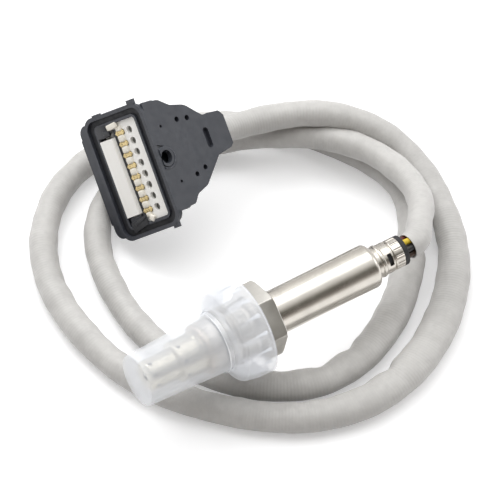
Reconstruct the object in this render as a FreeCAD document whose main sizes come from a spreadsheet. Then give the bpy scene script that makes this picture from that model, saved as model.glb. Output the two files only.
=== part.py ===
import FreeCAD, Part
import math
import os
import Sketcher

# Nitrogen oxide probe for an exhaust, with its hollow screw, transport cap, cable and plug.
# The frame: X along the probe from its tip to its rear, Z up, origin on the axis at the
# middle of the mounting thread. The cable lies on a surface 25.5 mm below the axis.

App = FreeCAD
Vec = App.Vector
doc = App.newDocument("nitrogen_oxide_probe")
sheet = doc.addObject("Spreadsheet::Sheet", "sizes")

SIZES = (
    # mounting thread, hollow screw
    ("thread_rad", 10.0, "crest radius of the M20 thread"),
    ("thread_len", 10.0, "plain length of the thread"),
    ("pilot_rad", 9.2, "pilot in front of the thread"),
    ("pilot_len", 3.0, "pilot length"),
    ("hex_flats", 22.0, "width across the flats"),
    ("hex_len", 7.0, "hexagon length"),
    ("hex_bevel", 1.1, "bevel of the hexagon's corners along the axis"),
    ("hex_turn", 5.0, "turn of the hexagon from upright, degrees"),
    ("run_gap", 0.1, "running clearance of the screw on the tube"),
    ("seat_gap", 0.1, "play between screw and collar"),
    ("fit_gap", 0.05, "clearance of seats inside the probe"),
    # probe body
    ("tube_rad", 7.3, "outer tube radius"),
    ("tube_wall", 0.7, "outer tube wall"),
    ("tube_end", 51.1, "rear end of the outer tube"),
    ("tube_round", 1.8, "rolled edge at the tube's rear end"),
    ("tube_lip", 5.55, "opening in the tube's rolled end"),
    ("tube_start", 6.0, "front end of the outer tube, under the screw"),
    ("spigot_end", 16.0, "rear end of the housing's spigot"),
    ("house_bore", 5.2, "bore of the housing"),
    ("collar_rad", 8.6, "collar of the housing"),
    ("collar_len", 4.0, "collar length"),
    ("lip_rad", 3.2, "opening in the housing's front lip"),
    ("lip_len", 1.2, "front lip thickness"),
    # protection tubes
    ("guard_tip", -34.0, "front face of the outer protection tube"),
    ("guard_front", 5.2, "radius of its front section"),
    ("guard_step", -23.3, "place of its step"),
    ("guard_rear", 6.8, "radius of its rear section"),
    ("guard_wall", 0.5, "its wall"),
    ("guard_mouth", 1.3, "hole in its front face"),
    ("guard_flange", 8.2, "radius of its flange"),
    ("guard_hole", 0.65, "radius of its gas holes"),
    ("guard_bead", -15.4, "place of its bead"),
    ("bead_high", 0.3, "height of the bead"),
    ("inner_rad", 3.9, "inner protection tube radius"),
    ("inner_wall", 0.4, "its wall"),
    ("inner_tip", -31.0, "its front face"),
    ("ring_len", 1.2, "sealing ring thickness"),
    ("ring_rad", 8.5, "sealing ring outer radius"),
    # element and packing
    ("strip_wide", 4.2, "width of the ceramic strip"),
    ("strip_thick", 1.3, "thickness of the ceramic strip"),
    ("strip_tip", -29.0, "front end of the strip"),
    ("strip_end", 34.0, "rear end of the strip"),
    ("bush_len", 9.0, "front bush length"),
    ("talc_len", 8.0, "packing length"),
    ("back_len", 8.5, "rear bush length"),
    ("holder_start", 20.0, "front of the contact holder"),
    ("holder_len", 18.0, "contact holder length"),
    ("holder_high", 2.5, "half height of the holder's slot"),
    ("spring_wide", 0.7, "contact spring width"),
    ("spring_pitch", 1.05, "contact spring spacing"),
    ("spring_thick", 0.25, "contact spring strip"),
    # neck
    ("neck_rad", 5.2, "first band of the neck"),
    ("neck_len", 5.8, "first band from the tube's end"),
    ("neck_bead", 0.25, "bead round the first band"),
    ("groove_rad", 5.0, "groove between the bands"),
    ("groove_len", 0.5, "groove length"),
    ("crimp_rad", 5.05, "second band, crimped"),
    ("crimp_len", 3.4, "second band length"),
    ("neck_bore", 4.2, "neck bore"),
    ("flange_len", 1.2, "neck flange thickness"),
    ("flange_deep", 2.0, "how far the neck's flange lies inside the tube"),
    ("window_len", 1.5, "neck window along the axis"),
    ("window_wide", 4.1, "neck window across"),
    ("window_turn", 51.0, "turn of the window from the top, degrees"),
    ("flute_rad", 0.55, "radius of the crimp flutes"),
    ("grommet_rim", 5.0, "rim of the rubber grommet"),
    ("grommet_len", 1.7, "length of the rim"),
    ("wire_rad", 1.0, "lead wire radius"),
    ("wire_ring", 2.9, "ring of lead wires in the grommet"),
    ("wire_pack", 2.35, "ring of lead wires in the sleeve"),
    # transport cap
    ("cap_tip", -37.0, "front face of the cap"),
    ("cap_front", 8.7, "cap radius at the front"),
    ("cap_waist", 9.9, "cap radius before the step"),
    ("cap_step", -6.7, "place of the cap's step"),
    ("cap_ring", 10.6, "radius of the step"),
    ("cap_wall", 0.9, "cap wall"),
    ("cap_skirt", 16.0, "skirt radius at the shoulder"),
    ("cap_rim", 5.2, "rear rim of the skirt"),
    ("cap_flare", 0.2, "flare of the skirt to its rim"),
    ("cap_gap", 0.15, "clearance of the cap's land on the pilot"),
    ("fin_rad", 10.9, "inner edge of the fins"),
    ("fin_thick", 0.8, "fin thickness"),
    ("fin_len", 3.4, "rear end of the fins"),
    # cable
    ("sleeve_rad", 4.4, "radius of the cable sleeve"),
    ("sleeve_bore", 3.75, "bore at the sleeve's open end"),
    ("sleeve_deep", 4.0, "depth of that bore"),
    # plug: half sizes across its long side (long) and short side (high), depths along it
    ("rim_long", 20.6, "half length of the rim"),
    ("rim_high", 14.0, "half height of the rim"),
    ("rim_round", 4.6, "corner radius of the rim"),
    ("rim_thick", 1.2, "thickness of the rim's flange"),
    ("rim_step", 1.0, "how far the flange stands out of the frame"),
    ("rim_shift", -0.7, "offset of the rim along its long side"),
    ("rim_wall", 1.3, "wall between rim and groove"),
    ("frame_deep", 9.0, "depth of the frame"),
    ("collar_deep", 3.0, "depth of the frame's wide front part"),
    ("frame_long", 18.2, "half length of the frame behind that part"),
    ("frame_shift", 0.6, "its offset along the long side"),
    ("wing_out", 3.6, "how far the frame's wing stands out under the rim"),
    ("rail_out", 5.0, "how far the slide rail stands out under the rim"),
    ("moat_wide", 2.6, "groove width on the long walls"),
    ("moat_ends", 1.8, "groove width at the ends"),
    ("moat_deep", 7.6, "groove depth along the sides"),
    ("moat_flat", 2.4, "groove depth at the ends"),
    ("tower_wall", 0.9, "wall of the inner tower"),
    ("tower_deep", 6.6, "depth of the tower's well"),
    ("tower_face", 0.4, "tower's front face behind the rim"),
    ("carrier_face", 1.2, "carrier's front face behind the rim"),
    ("pole_pitch", 3.71, "spacing of the contacts"),
    ("pole_rad", 1.25, "radius of the carrier's holes"),
    ("pole_row", 4.6, "height of the row of holes"),
    ("barrel_row", 0.7, "height of the row of contacts"),
    ("bar_high", 7.0, "width of the lock bar"),
    ("bar_out", 1.6, "how far the lock bar stands out of the carrier"),
    ("shell_top", 13.9, "top of the backshell"),
    ("shell_mid", 7.3, "split of the backshell, at the cable's axis"),
    ("shell_bottom", 1.3, "bottom of the backshell"),
    ("shell_axis", 2.2, "cable axis along the plug's long side"),
    ("shell_end", 33.2, "end of the backshell"),
    ("shell_gap", 0.05, "joint between the plug's pieces"),
    ("cable_gap", 0.1, "clearance of the cable in the tail"),
    ("hold_deep", 8.0, "how far the cable goes into the tail"),
    ("clamp_wall", 1.1, "clamp ring wall"),
    ("clamp_len", 3.0, "clamp ring length"),
    ("latch_hole", 2.2, "radius of the latch hole"),
    ("latch_ring", 3.1, "raised ring round the latch hole"),
    ("shell_bevel", 1.1, "bevel along the backshell's upper outline"),
)

for row, (alias, value, note) in enumerate(SIZES, 1):
    sheet.set("A%d" % row, note)
    sheet.set("B%d" % row, repr(value))
    sheet.setAlias("B%d" % row, alias)
doc.recompute()


class Size:
    """A number and the spreadsheet expression that gives it."""

    def __init__(self, value, text):
        self.value, self.text = float(value), text

    @staticmethod
    def of(other):
        if isinstance(other, Size):
            return other
        return Size(other, "(%.9f)" % other if other < 0 else "%.9f" % other)

    def __add__(self, other):
        other = Size.of(other)
        return Size(self.value + other.value, "(%s + %s)" % (self.text, other.text))

    def __radd__(self, other):
        return Size.of(other) + self

    def __sub__(self, other):
        other = Size.of(other)
        return Size(self.value - other.value, "(%s - %s)" % (self.text, other.text))

    def __rsub__(self, other):
        return Size.of(other) - self

    def __mul__(self, other):
        other = Size.of(other)
        return Size(self.value * other.value, "(%s * %s)" % (self.text, other.text))

    def __rmul__(self, other):
        return Size.of(other) * self

    def __truediv__(self, other):
        other = Size.of(other)
        return Size(self.value / other.value, "(%s / %s)" % (self.text, other.text))

    def __neg__(self):
        return Size(-self.value, "(0 - %s)" % self.text)


class Sheet:
    """The sheet's cells as sizes, by alias."""

    def __getattr__(self, alias):
        return Size(getattr(sheet, alias), "sizes." + alias)


S = Sheet()
PARTS = []


def new_body(name, placement=None):
    body = doc.addObject("PartDesign::Body", name)
    body.Label = name
    if placement is not None:
        body.Placement = placement
    PARTS.append(body)
    return body


def outline(body, role, *loops, offset=None, turn=0.0):
    """A sketch on one of the body's own planes. A loop is a list of corners
    (across, up) or (across, up, radius); a loop of one entry (x, y, 'hole', r) is a circle."""
    sketch = body.newObject("Sketcher::SketchObject", body.Name + "_sketch")
    plane = [item for item in body.Origin.OriginFeatures if item.Role == role][0]
    sketch.AttachmentSupport = [(plane, "")]
    sketch.MapMode = "FlatFace"
    if offset is not None or turn:
        start = Size.of(offset if offset is not None else 0.0)
        sketch.AttachmentOffset = App.Placement(Vec(0, 0, start.value), App.Rotation(Vec(0, 0, 1), turn))
        if offset is not None:
            sketch.setExpression("AttachmentOffset.Base.z", start.text)

    def pin(kind, geo, pos, size):
        size = Size.of(size)
        index = sketch.addConstraint(Sketcher.Constraint(kind, -1, 1, geo, pos, size.value))
        if "sizes." in size.text:
            sketch.setExpression("Constraints[%d]" % index, size.text)

    for loop in loops:
        if len(loop) == 1:
            across, up, _, radius = loop[0]
            across, up, radius = Size.of(across), Size.of(up), Size.of(radius)
            geo = sketch.addGeometry(Part.Circle(Vec(across.value, up.value, 0), Vec(0, 0, 1), radius.value), False)
            pin("DistanceX", geo, 3, across)
            pin("DistanceY", geo, 3, up)
            index = sketch.addConstraint(Sketcher.Constraint("Radius", geo, radius.value))
            if "sizes." in radius.text:
                sketch.setExpression("Constraints[%d]" % index, radius.text)
            continue
        corners = [(Size.of(c[0]), Size.of(c[1]), Size.of(c[2]) if len(c) > 2 else None) for c in loop]
        places = [Vec(c[0].value, c[1].value, 0) for c in corners]
        count = len(corners)
        cuts = []
        for i in range(count):
            here, back, ahead = places[i], places[i - 1], places[(i + 1) % count]
            if corners[i][2] is None:
                cuts.append((here, here, None))
                continue
            one, two = (back - here).normalize(), (ahead - here).normalize()
            half = one.getAngle(two) / 2
            radius = corners[i][2].value
            reach = radius / math.tan(half)
            middle = here + (one + two).normalize() * (radius / math.sin(half))
            cuts.append((here + one * reach, here + two * reach, middle))
        lines = [sketch.addGeometry(Part.LineSegment(cuts[i][1], cuts[(i + 1) % count][0]), False) for i in range(count)]
        for i in range(count):
            before, after = lines[i - 1], lines[i]
            start, end, middle = cuts[i]
            if middle is None:
                sketch.addConstraint(Sketcher.Constraint("Coincident", before, 2, after, 1))
                pin("DistanceX", after, 1, corners[i][0])
                pin("DistanceY", after, 1, corners[i][1])
                continue
            first, last = start - middle, end - middle
            left = first.x * last.y - first.y * last.x > 0
            a1, a2 = (first, last) if left else (last, first)
            circle = Part.Circle(middle, Vec(0, 0, 1), corners[i][2].value)
            arc = sketch.addGeometry(Part.ArcOfCircle(circle, math.atan2(a1.y, a1.x), math.atan2(a2.y, a2.x)), False)
            point = sketch.addGeometry(Part.Point(places[i]), True)
            sketch.addConstraint(Sketcher.Constraint("Tangent", before, 2, arc, 1 if left else 2))
            sketch.addConstraint(Sketcher.Constraint("Tangent", after, 1, arc, 2 if left else 1))
            sketch.addConstraint(Sketcher.Constraint("PointOnObject", point, 1, before))
            sketch.addConstraint(Sketcher.Constraint("PointOnObject", point, 1, after))
            pin("DistanceX", point, 1, corners[i][0])
            pin("DistanceY", point, 1, corners[i][1])
            index = sketch.addConstraint(Sketcher.Constraint("Radius", arc, corners[i][2].value))
            if "sizes." in corners[i][2].text:
                sketch.setExpression("Constraints[%d]" % index, corners[i][2].text)
    return sketch


def turned(body, loop, cut=False):
    """Revolves a profile of (x, radius) corners about the probe's axis."""
    sketch = outline(body, "XZ_Plane", loop)
    feature = body.newObject("PartDesign::Groove" if cut else "PartDesign::Revolution", body.Name + "_turned")
    feature.Profile = sketch
    feature.ReferenceAxis = (sketch, ["H_Axis"])
    feature.Angle = 360
    return feature


def grown(body, sketch, length, cut=False, back=False, middle=False):
    """Pads or pockets a sketch by a length along its normal, or against it with back."""
    feature = body.newObject("PartDesign::Pocket" if cut else "PartDesign::Pad", body.Name + ("_pocket" if cut else "_pad"))
    feature.Profile = sketch
    length = Size.of(length)
    feature.Length = length.value
    if "sizes." in length.text:
        feature.setExpression("Length", length.text)
    if middle:
        feature.SideType = "Symmetric"
    else:
        feature.Reversed = bool(back) != bool(cut)
    return feature


def pattern(body, feature, count, step=None, axis="X_Axis", angle=360):
    """Repeats a feature round an axis, or along it when a step is given."""
    line = [item for item in body.Origin.OriginFeatures if item.Role == axis][0]
    if step is None:
        copies = body.newObject("PartDesign::PolarPattern", body.Name + "_round")
        copies.Axis = (line, [""])
        copies.Angle = angle
    else:
        copies = body.newObject("PartDesign::LinearPattern", body.Name + "_row")
        copies.Direction = (line, [""])
        length = Size.of(step) * (count - 1)
        copies.Length = length.value
        if "sizes." in length.text:
            copies.setExpression("Length", length.text)
    copies.Originals = [feature]
    copies.Occurrences = count
    body.Tip = copies
    return copies


def frame_of(long_half, high_half, radius, centre=0.0):
    """Corners of a rounded rectangle, across the long side and up the short one."""
    return [(centre - long_half, -high_half, radius), (centre + long_half, -high_half, radius),
            (centre + long_half, high_half, radius), (centre - long_half, high_half, radius)]


# stations along the probe
thread_front = -(S.thread_len / 2)
thread_back = S.thread_len / 2
hex_back = thread_back + S.hex_len
pilot_front = thread_front - S.pilot_len
collar_back = pilot_front - S.seat_gap
collar_front = collar_back - S.collar_len
tube_bore = S.tube_rad - S.tube_wall
screw_bore = S.tube_rad + S.run_gap
bush_rad = S.house_bore - S.fit_gap
bush_front = collar_front + S.lip_len
neck_front = S.tube_end - S.flange_deep
neck_step = S.tube_end + S.neck_len
crimp_front = neck_step + S.groove_len
crimp_back = crimp_front + S.crimp_len
rim_back = crimp_back + S.grommet_len

# ------------------------------------------------------------------ transport cap
cap = new_body("protective_cap")
land = S.pilot_rad + S.cap_gap
cap_inner = S.cap_front - S.cap_wall
rise = S.cap_skirt - S.cap_ring
turned(cap, [
    (S.cap_tip, 0), (S.cap_tip, S.cap_front, 0.6), (S.cap_step, S.cap_waist),
    (S.cap_step, S.cap_ring, 0.3), (S.cap_step + 1.3, S.cap_ring + rise * 0.44, rise * 0.11),
    (S.cap_step + 2.3, S.cap_skirt - rise * 0.17, rise * 0.28), (S.cap_step + 6.7, S.cap_skirt, rise * 1.48),
    (S.cap_rim, S.cap_skirt + S.cap_flare), (S.cap_rim, S.cap_skirt + S.cap_flare - S.cap_wall),
    (S.cap_step + 6.9, S.cap_skirt - S.cap_wall, rise * 1.1), (S.cap_step + 3.2, S.cap_skirt - S.cap_wall - rise * 0.15, rise * 0.15),
    (S.cap_step + 2.4, S.cap_ring + rise * 0.37, rise * 0.09), (S.cap_step + 1.2, S.cap_ring + 0.2),
    (S.cap_step + 1.2, land), (pilot_front - 0.3, land), (pilot_front - 0.3, S.cap_waist - S.cap_wall),
    (S.cap_tip + S.cap_wall, cap_inner, 0.4), (S.cap_tip + S.cap_wall, 0)])
fin_back = S.cap_skirt - S.cap_wall + 0.3
fin = grown(cap, outline(cap, "XZ_Plane", [
    (S.cap_step + 1.0, S.fin_rad), (S.cap_step + 7.3, S.fin_rad), (S.fin_len, fin_back),
    (S.cap_step + 6.0, fin_back), (S.cap_step + 2.8, S.cap_skirt - rise * 0.3), (S.cap_step + 1.6, S.cap_skirt - rise * 0.67)]),
    S.fin_thick, middle=True)
pattern(cap, fin, 12)

# ------------------------------------------------------------------ protection tubes
guard = new_body("outer_protection_tube")
guard_seat = collar_front
turned(guard, [
    (S.guard_tip, S.guard_mouth), (S.guard_tip, S.guard_front, 0.9), (S.guard_step, S.guard_front),
    (S.guard_step, S.guard_rear, 0.5), (S.guard_bead - 0.7, S.guard_rear), (S.guard_bead, S.guard_rear + S.bead_high, 0.3),
    (S.guard_bead + 0.7, S.guard_rear), (guard_seat - S.guard_wall, S.guard_rear),
    (guard_seat - S.guard_wall, S.guard_flange), (guard_seat, S.guard_flange), (guard_seat, S.guard_rear - S.guard_wall),
    (S.guard_step + S.guard_wall, S.guard_rear - S.guard_wall), (S.guard_step + S.guard_wall, S.guard_front - S.guard_wall),
    (S.guard_tip + S.guard_wall, S.guard_front - S.guard_wall, 0.4), (S.guard_tip + S.guard_wall, S.guard_mouth)])
hole = grown(guard, outline(guard, "XY_Plane", [(S.guard_tip + 1.9, 0, "hole", S.guard_hole)]), S.guard_rear + 1.0, cut=True)
pattern(guard, hole, 8)
hole = grown(guard, outline(guard, "XY_Plane", [(S.guard_step + 1.7, 0, "hole", S.guard_hole)]), S.guard_rear + 1.0, cut=True)
pattern(guard, hole, 8)

inner = new_body("inner_protection_tube")
turned(inner, [
    (S.inner_tip, 0.9), (S.inner_tip, S.inner_rad, 0.8), (guard_seat - S.inner_wall, S.inner_rad),
    (guard_seat - S.inner_wall, S.guard_rear - S.guard_wall - S.fit_gap), (guard_seat, S.guard_rear - S.guard_wall - S.fit_gap),
    (guard_seat, S.inner_rad - S.inner_wall), (S.inner_tip + S.inner_wall, S.inner_rad - S.inner_wall, 0.4), (S.inner_tip + S.inner_wall, 0.9)])
hole = grown(inner, outline(inner, "XY_Plane", [(S.guard_step - 2.5, 0, "hole", S.guard_hole)]), S.guard_front, cut=True)
pattern(inner, hole, 6)

ring = new_body("sealing_ring")
ring_back = guard_seat - S.guard_wall
turned(ring, [
    (ring_back - S.ring_len, S.guard_rear + S.fit_gap), (ring_back - S.ring_len, S.ring_rad, 0.4),
    (ring_back, S.ring_rad, 0.4), (ring_back, S.guard_rear + S.fit_gap)])

# ------------------------------------------------------------------ housing and what it holds
house = new_body("probe_housing")
spigot = tube_bore - S.fit_gap
turned(house, [
    (collar_front, S.lip_rad), (collar_front, S.collar_rad, 0.5), (collar_back, S.collar_rad, 0.5), (collar_back, S.tube_rad),
    (S.tube_start, S.tube_rad), (S.tube_start, spigot), (S.spigot_end, spigot), (S.spigot_end, S.house_bore),
    (bush_front, S.house_bore), (bush_front, S.lip_rad)])


def plug_with_slot(name, start, length, radius, slot_long, slot_high):
    """A round ceramic piece with a flat slot through it for the strip."""
    body = new_body(name)
    turned(body, [(start, 0), (start, radius, 0.3), (start + length, radius, 0.3), (start + length, 0)])
    grown(body, outline(body, "YZ_Plane", [(-slot_long, -slot_high), (slot_long, -slot_high), (slot_long, slot_high), (-slot_long, slot_high)],
          offset=start - 1.0), length + 2.0, cut=True)
    return body


slot_long = S.strip_wide / 2 + S.fit_gap
slot_high = S.strip_thick / 2 + S.fit_gap
plug_with_slot("front_bush", bush_front, S.bush_len, bush_rad, slot_long, slot_high)
plug_with_slot("talc_packing", bush_front + S.bush_len, S.talc_len, bush_rad, slot_long, slot_high)
plug_with_slot("rear_bush", bush_front + S.bush_len + S.talc_len, S.back_len, bush_rad, slot_long, slot_high)
plug_with_slot("contact_holder", S.holder_start, S.holder_len, tube_bore - S.fit_gap, S.strip_wide / 2 + 0.6, S.holder_high)

strip = new_body("sensing_element")
half_wide, half_thick = S.strip_wide / 2, S.strip_thick / 2
grown(strip, outline(strip, "YZ_Plane", [(-half_wide, -half_thick, 0.2), (half_wide, -half_thick, 0.2),
      (half_wide, half_thick, 0.2), (-half_wide, half_thick, 0.2)], offset=S.strip_tip), S.strip_end - S.strip_tip)

springs = new_body("contact_springs")
low = half_thick + S.fit_gap
high = S.holder_high - S.fit_gap
bend = [
    (S.holder_start + 2.0, high - S.spring_thick), (S.holder_start + 7.0, high - S.spring_thick),
    (S.holder_start + 9.5, low), (S.holder_start + 11.5, low), (S.holder_start + 13.5, low + 0.6),
    (S.holder_start + 13.5, low + 0.6 + S.spring_thick), (S.holder_start + 11.3, low + S.spring_thick),
    (S.holder_start + 9.7, low + S.spring_thick), (S.holder_start + 7.2, high), (S.holder_start + 2.0, high)]
first = grown(springs, outline(springs, "XZ_Plane", bend, [(across, -up) for across, up in bend],
                               offset=S.spring_pitch * 1.5 - S.spring_wide / 2), S.spring_wide)
pattern(springs, first, 4, step=S.spring_pitch, axis="Y_Axis")

# ------------------------------------------------------------------ hollow screw
screw = new_body("hollow_screw")
corner = S.hex_flats * (1 / math.sqrt(3))
hexagon = [(corner * math.cos(math.radians(90 + sheet.hex_turn + 60 * i)), corner * math.sin(math.radians(90 + sheet.hex_turn + 60 * i))) for i in range(6)]
grown(screw, outline(screw, "YZ_Plane", hexagon, offset=thread_back), S.hex_len)
turned(screw, [(pilot_front, 0), (pilot_front, S.pilot_rad, 0.5), (thread_front, S.pilot_rad), (thread_front, S.thread_rad),
               (thread_back, S.thread_rad), (thread_back, S.thread_rad + 0.5), (hex_back, S.thread_rad + 0.5), (hex_back, 0)])
flat = S.hex_flats / 2
turned(screw, [(hex_back - S.hex_bevel, corner), (hex_back, flat - 0.5), (hex_back + 1, flat - 0.5), (hex_back + 1, corner + 1), (hex_back - S.hex_bevel, corner + 1)], cut=True)
turned(screw, [(thread_back + S.hex_bevel * 0.7, corner), (thread_back, flat - 0.2), (thread_back - 0.5, flat - 0.2), (thread_back - 0.5, corner + 1), (thread_back + S.hex_bevel * 0.7, corner + 1)], cut=True)
turned(screw, [(pilot_front - 1, 0), (pilot_front - 1, screw_bore), (hex_back - 0.6, screw_bore), (hex_back + 1, screw_bore + 1.6), (hex_back + 1, 0)], cut=True)

# ------------------------------------------------------------------ outer tube, neck, grommet
tube = new_body("outer_tube")
turned(tube, [(S.tube_start, tube_bore), (S.tube_start, S.tube_rad), (S.tube_end, S.tube_rad, S.tube_round), (S.tube_end, S.tube_lip),
               (S.tube_end - S.tube_wall, S.tube_lip), (S.tube_end - S.tube_wall, tube_bore, S.tube_round - S.tube_wall)])

neck = new_body("crimp_ferrule")
turned(neck, [
    (neck_front - S.flange_len, S.neck_bore), (neck_front - S.flange_len, tube_bore - S.fit_gap), (neck_front, tube_bore - S.fit_gap),
    (neck_front, S.neck_rad + 0.35), (S.tube_end + 0.4, S.neck_rad - 0.1), (S.tube_end + 1.4, S.neck_rad - 0.1),
    (S.tube_end + 1.8, S.neck_rad + S.neck_bead, 0.3), (S.tube_end + 2.6, S.neck_rad + S.neck_bead, 0.3), (S.tube_end + 3.0, S.neck_rad - 0.1), (neck_step, S.neck_rad - 0.1, 0.2), (neck_step, S.groove_rad - 0.35),
    (crimp_front, S.groove_rad - 0.35), (crimp_front, S.crimp_rad, 0.2), (crimp_back, S.crimp_rad, 0.2), (crimp_back, S.neck_bore)])
grown(neck, outline(neck, "XY_Plane", [
    (neck_step - 0.4 - S.window_len, -(S.window_wide / 2), 0.3), (neck_step - 0.4, -(S.window_wide / 2), 0.3),
    (neck_step - 0.4, S.window_wide / 2, 0.3), (neck_step - 0.4 - S.window_len, S.window_wide / 2, 0.3)]), S.neck_rad + 1, cut=True)
flute = grown(neck, outline(neck, "YZ_Plane", [(0, S.crimp_rad + S.flute_rad * 0.55, "hole", S.flute_rad)], offset=crimp_front + 0.5), S.crimp_len, cut=True)
pattern(neck, flute, 14)
neck.Placement = App.Placement(Vec(0, 0, 0), App.Rotation(Vec(1, 0, 0), sheet.window_turn))

grommet = new_body("grommet")
turned(grommet, [
    (neck_front + 1, 0), (neck_front + 1, S.neck_bore - S.fit_gap), (crimp_back + S.fit_gap, S.neck_bore - S.fit_gap),
    (crimp_back + S.fit_gap, S.grommet_rim, 0.3), (rim_back, S.grommet_rim, 0.4), (rim_back, 0)])
grown(grommet, outline(grommet, "YZ_Plane", [(0, 0, "hole", S.wire_rad + S.fit_gap)], offset=neck_front), 20, cut=True)
hole = grown(grommet, outline(grommet, "YZ_Plane", [(0, S.wire_ring, "hole", S.wire_rad + S.fit_gap)], offset=neck_front), 20, cut=True)
pattern(grommet, hole, 7)

# ------------------------------------------------------------------ cable and lead wires
def tangent_path(points, least=None):
    """Straight runs joined by tangent arcs; each arc's radius is 0.45 of the shorter run over
    the tangent of half its turn. Returns the edges, the length and the radii."""
    cuts, radii = [], []
    for i, here in enumerate(points):
        if i in (0, len(points) - 1):
            cuts.append((here, here))
            continue
        back, ahead = points[i - 1] - here, points[i + 1] - here
        run = 0.45 * min(back.Length, ahead.Length)
        turn = math.pi - back.getAngle(ahead)
        radii.append(run / math.tan(turn / 2))
        one, two = Vec(back).normalize(), Vec(ahead).normalize()
        middle = here + (one + two).normalize() * (math.hypot(run, radii[-1]))
        cuts.append((here + one * run, here + two * run, middle + (here - middle).normalize() * radii[-1]))
    edges, length = [], 0.0
    for i in range(len(points) - 1):
        start, end = cuts[i][1], cuts[i + 1][0]
        edges.append(Part.LineSegment(start, end).toShape())
        if i + 1 < len(points) - 1:
            entry, leave, crown = cuts[i + 1]
            edges.append(Part.Arc(entry, crown, leave).toShape())
    length = sum(edge.Length for edge in edges)
    return edges, length, radii


def cord(points, radius):
    """A round solid along a route."""
    edges, length, radii = tangent_path(points)
    path = Part.Wire(edges)
    across = (points[1] - points[0]).normalize()
    disc = Part.Wire([Part.Circle(points[0], across, radius).toShape()])
    solid = path.makePipeShell([disc], True, False)
    return solid, length, radii


# The cable's route, from inside the plug's tail to the open end of the sleeve at the probe:
# over its own inner strands, a wide outer turn, back under the plug, a tighter inner turn,
# under the plug again, and up over the inner turn to the probe's neck.
ROUTE = (
    (32.8, 73.32, 0.43), (47.4, 75.92, -5.37), (62.5, 72.8, -6.0), (75.3, 66.6, -6.1), (85.9, 57.8, -8.8),
    (93.5, 46.8, -14.2), (95.9, 32.3, -19.2), (92.5, 15.8, -21.1), (83.9, -0.2, -21.1), (69.4, -15.2, -21.1),
    (51.9, -26.2, -21.1), (32.9, -31.7, -21.1), (14.9, -29.2, -21.1), (-1.6, -20.2, -21.1), (-16.1, -5.2, -21.1),
    (-27.6, 12.8, -21.1), (-32.6, 34.3, -21.1), (-31.6, 58.8, -21.1), (-23.1, 79.8, -21.1), (-7.1, 94.8, -21.1),
    (10.9, 100.8, -21.1), (30.4, 99.8, -21.1), (48.4, 92.3, -21.1), (63.9, 81.8, -21.1), (74.4, 69.8, -21.1),
    (82.9, 53.8, -21.1), (87.4, 38.3, -21.1), (83.4, 21.8, -21.1), (73.4, 7.8, -21.1), (59.9, -5.2, -21.1),
    (40.4, -15.2, -21.1), (21.4, -17.2, -21.1), (4.4, -8.7, -21.1), (-8.1, 6.3, -21.1), (-16.6, 25.3, -21.1),
    (-16.6, 48.3, -21.1), (-9.1, 69.8, -21.1), (3.9, 83.8, -21.1), (21.4, 87.8, -21.1), (38.9, 85.8, -20.1),
    (50.9, 80.3, -17.6), (60.9, 73.3, -15.6), (69.9, 65.3, -13.6), (77.4, 56.3, -12.1), (83.4, 44.8, -11.6),
    (85.0, 29.8, -9.8), (81.6, 16.6, -6.2), (74.6, 7.0, -2.5), (68.2, 1.2, -0.4))

route = [Vec(*point) for point in ROUTE]
solid, sleeve_length, radii = cord(route, sheet.sleeve_rad)
mouth, toward = route[-1], (route[-2] - route[-1]).normalize()
solid = solid.cut(Part.makeCylinder(sheet.sleeve_bore, sheet.sleeve_deep, mouth, toward))
sleeve = doc.addObject("Part::Feature", "cable_sleeve")
sleeve.Label = "cable_sleeve"
sleeve.Shape = solid
sleeve.Placement = App.Placement()
PARTS.append(sleeve)
area = math.pi * sheet.sleeve_rad ** 2
bored = math.pi * sheet.sleeve_bore ** 2 * sheet.sleeve_deep
print("cable: %.1f mm long, volume %.1f against %.1f" % (sleeve_length, solid.Volume, area * sleeve_length - bored))
print("radii: " + " ".join("%d:%.1f" % (i + 1, r) for i, r in enumerate(radii)))

# Eight lead wires: one in the middle and seven round it, through the grommet and into the sleeve.
turn_over = App.Rotation(Vec(1, 0, 0), toward)
ahead = Vec(1, 0, 0)
start_x = neck_front.value + 2.5
knee, heel = Vec(rim_back.value + 0.6, 0, 0), mouth - toward * 1.7
middle = (heel - knee).normalize()
for i, colour in enumerate(("white", "yellow", "black", "brown", "grey", "blue", "green", "red")):
    angle = math.radians(90 + 360 / 7 * (i - 1))
    spoke = Vec(0, math.cos(angle), math.sin(angle)) if i else Vec(0, 0, 0)
    begin = Vec(start_x, 0, 0) + spoke * sheet.wire_ring
    finish = mouth + turn_over.multVec(spoke * sheet.wire_pack)
    # each wire bends where it meets the plane that halves the bundle's bend
    bend = begin + ahead * ((knee - begin).dot(ahead + middle) / ahead.dot(ahead + middle))
    enter = finish + toward * ((heel - finish).dot(middle + toward) / toward.dot(middle + toward))
    points = [begin, bend, enter, finish + toward * (sheet.sleeve_deep - 0.3)]
    wire_solid, _, wire_radii = cord(points, sheet.wire_rad)
    wire = doc.addObject("Part::Feature", "wire_" + colour)
    wire.Label = "wire_" + colour
    wire.Shape = wire_solid
    wire.Placement = App.Placement()
    PARTS.append(wire)
    print("wire_%s radii %s" % (colour, " ".join("%.1f" % r for r in wire_radii)))

# ------------------------------------------------------------------ plug
# Its own frame: X backwards along the cable's tail, Y along the long side, Z to the backshell's top.
tail = Vec(0.916, 0.161, -0.367).normalize()
top = Vec(0.387, -0.591, 0.708)
top = (top - tail * top.dot(tail)).normalize()
long_side = top.cross(tail).normalize()
plug_at = App.Placement(App.Matrix(tail.x, long_side.x, top.x, 6.65, tail.y, long_side.y, top.y, 71.82,
                                   tail.z, long_side.z, top.z, 3.23, 0, 0, 0, 1))

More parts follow.
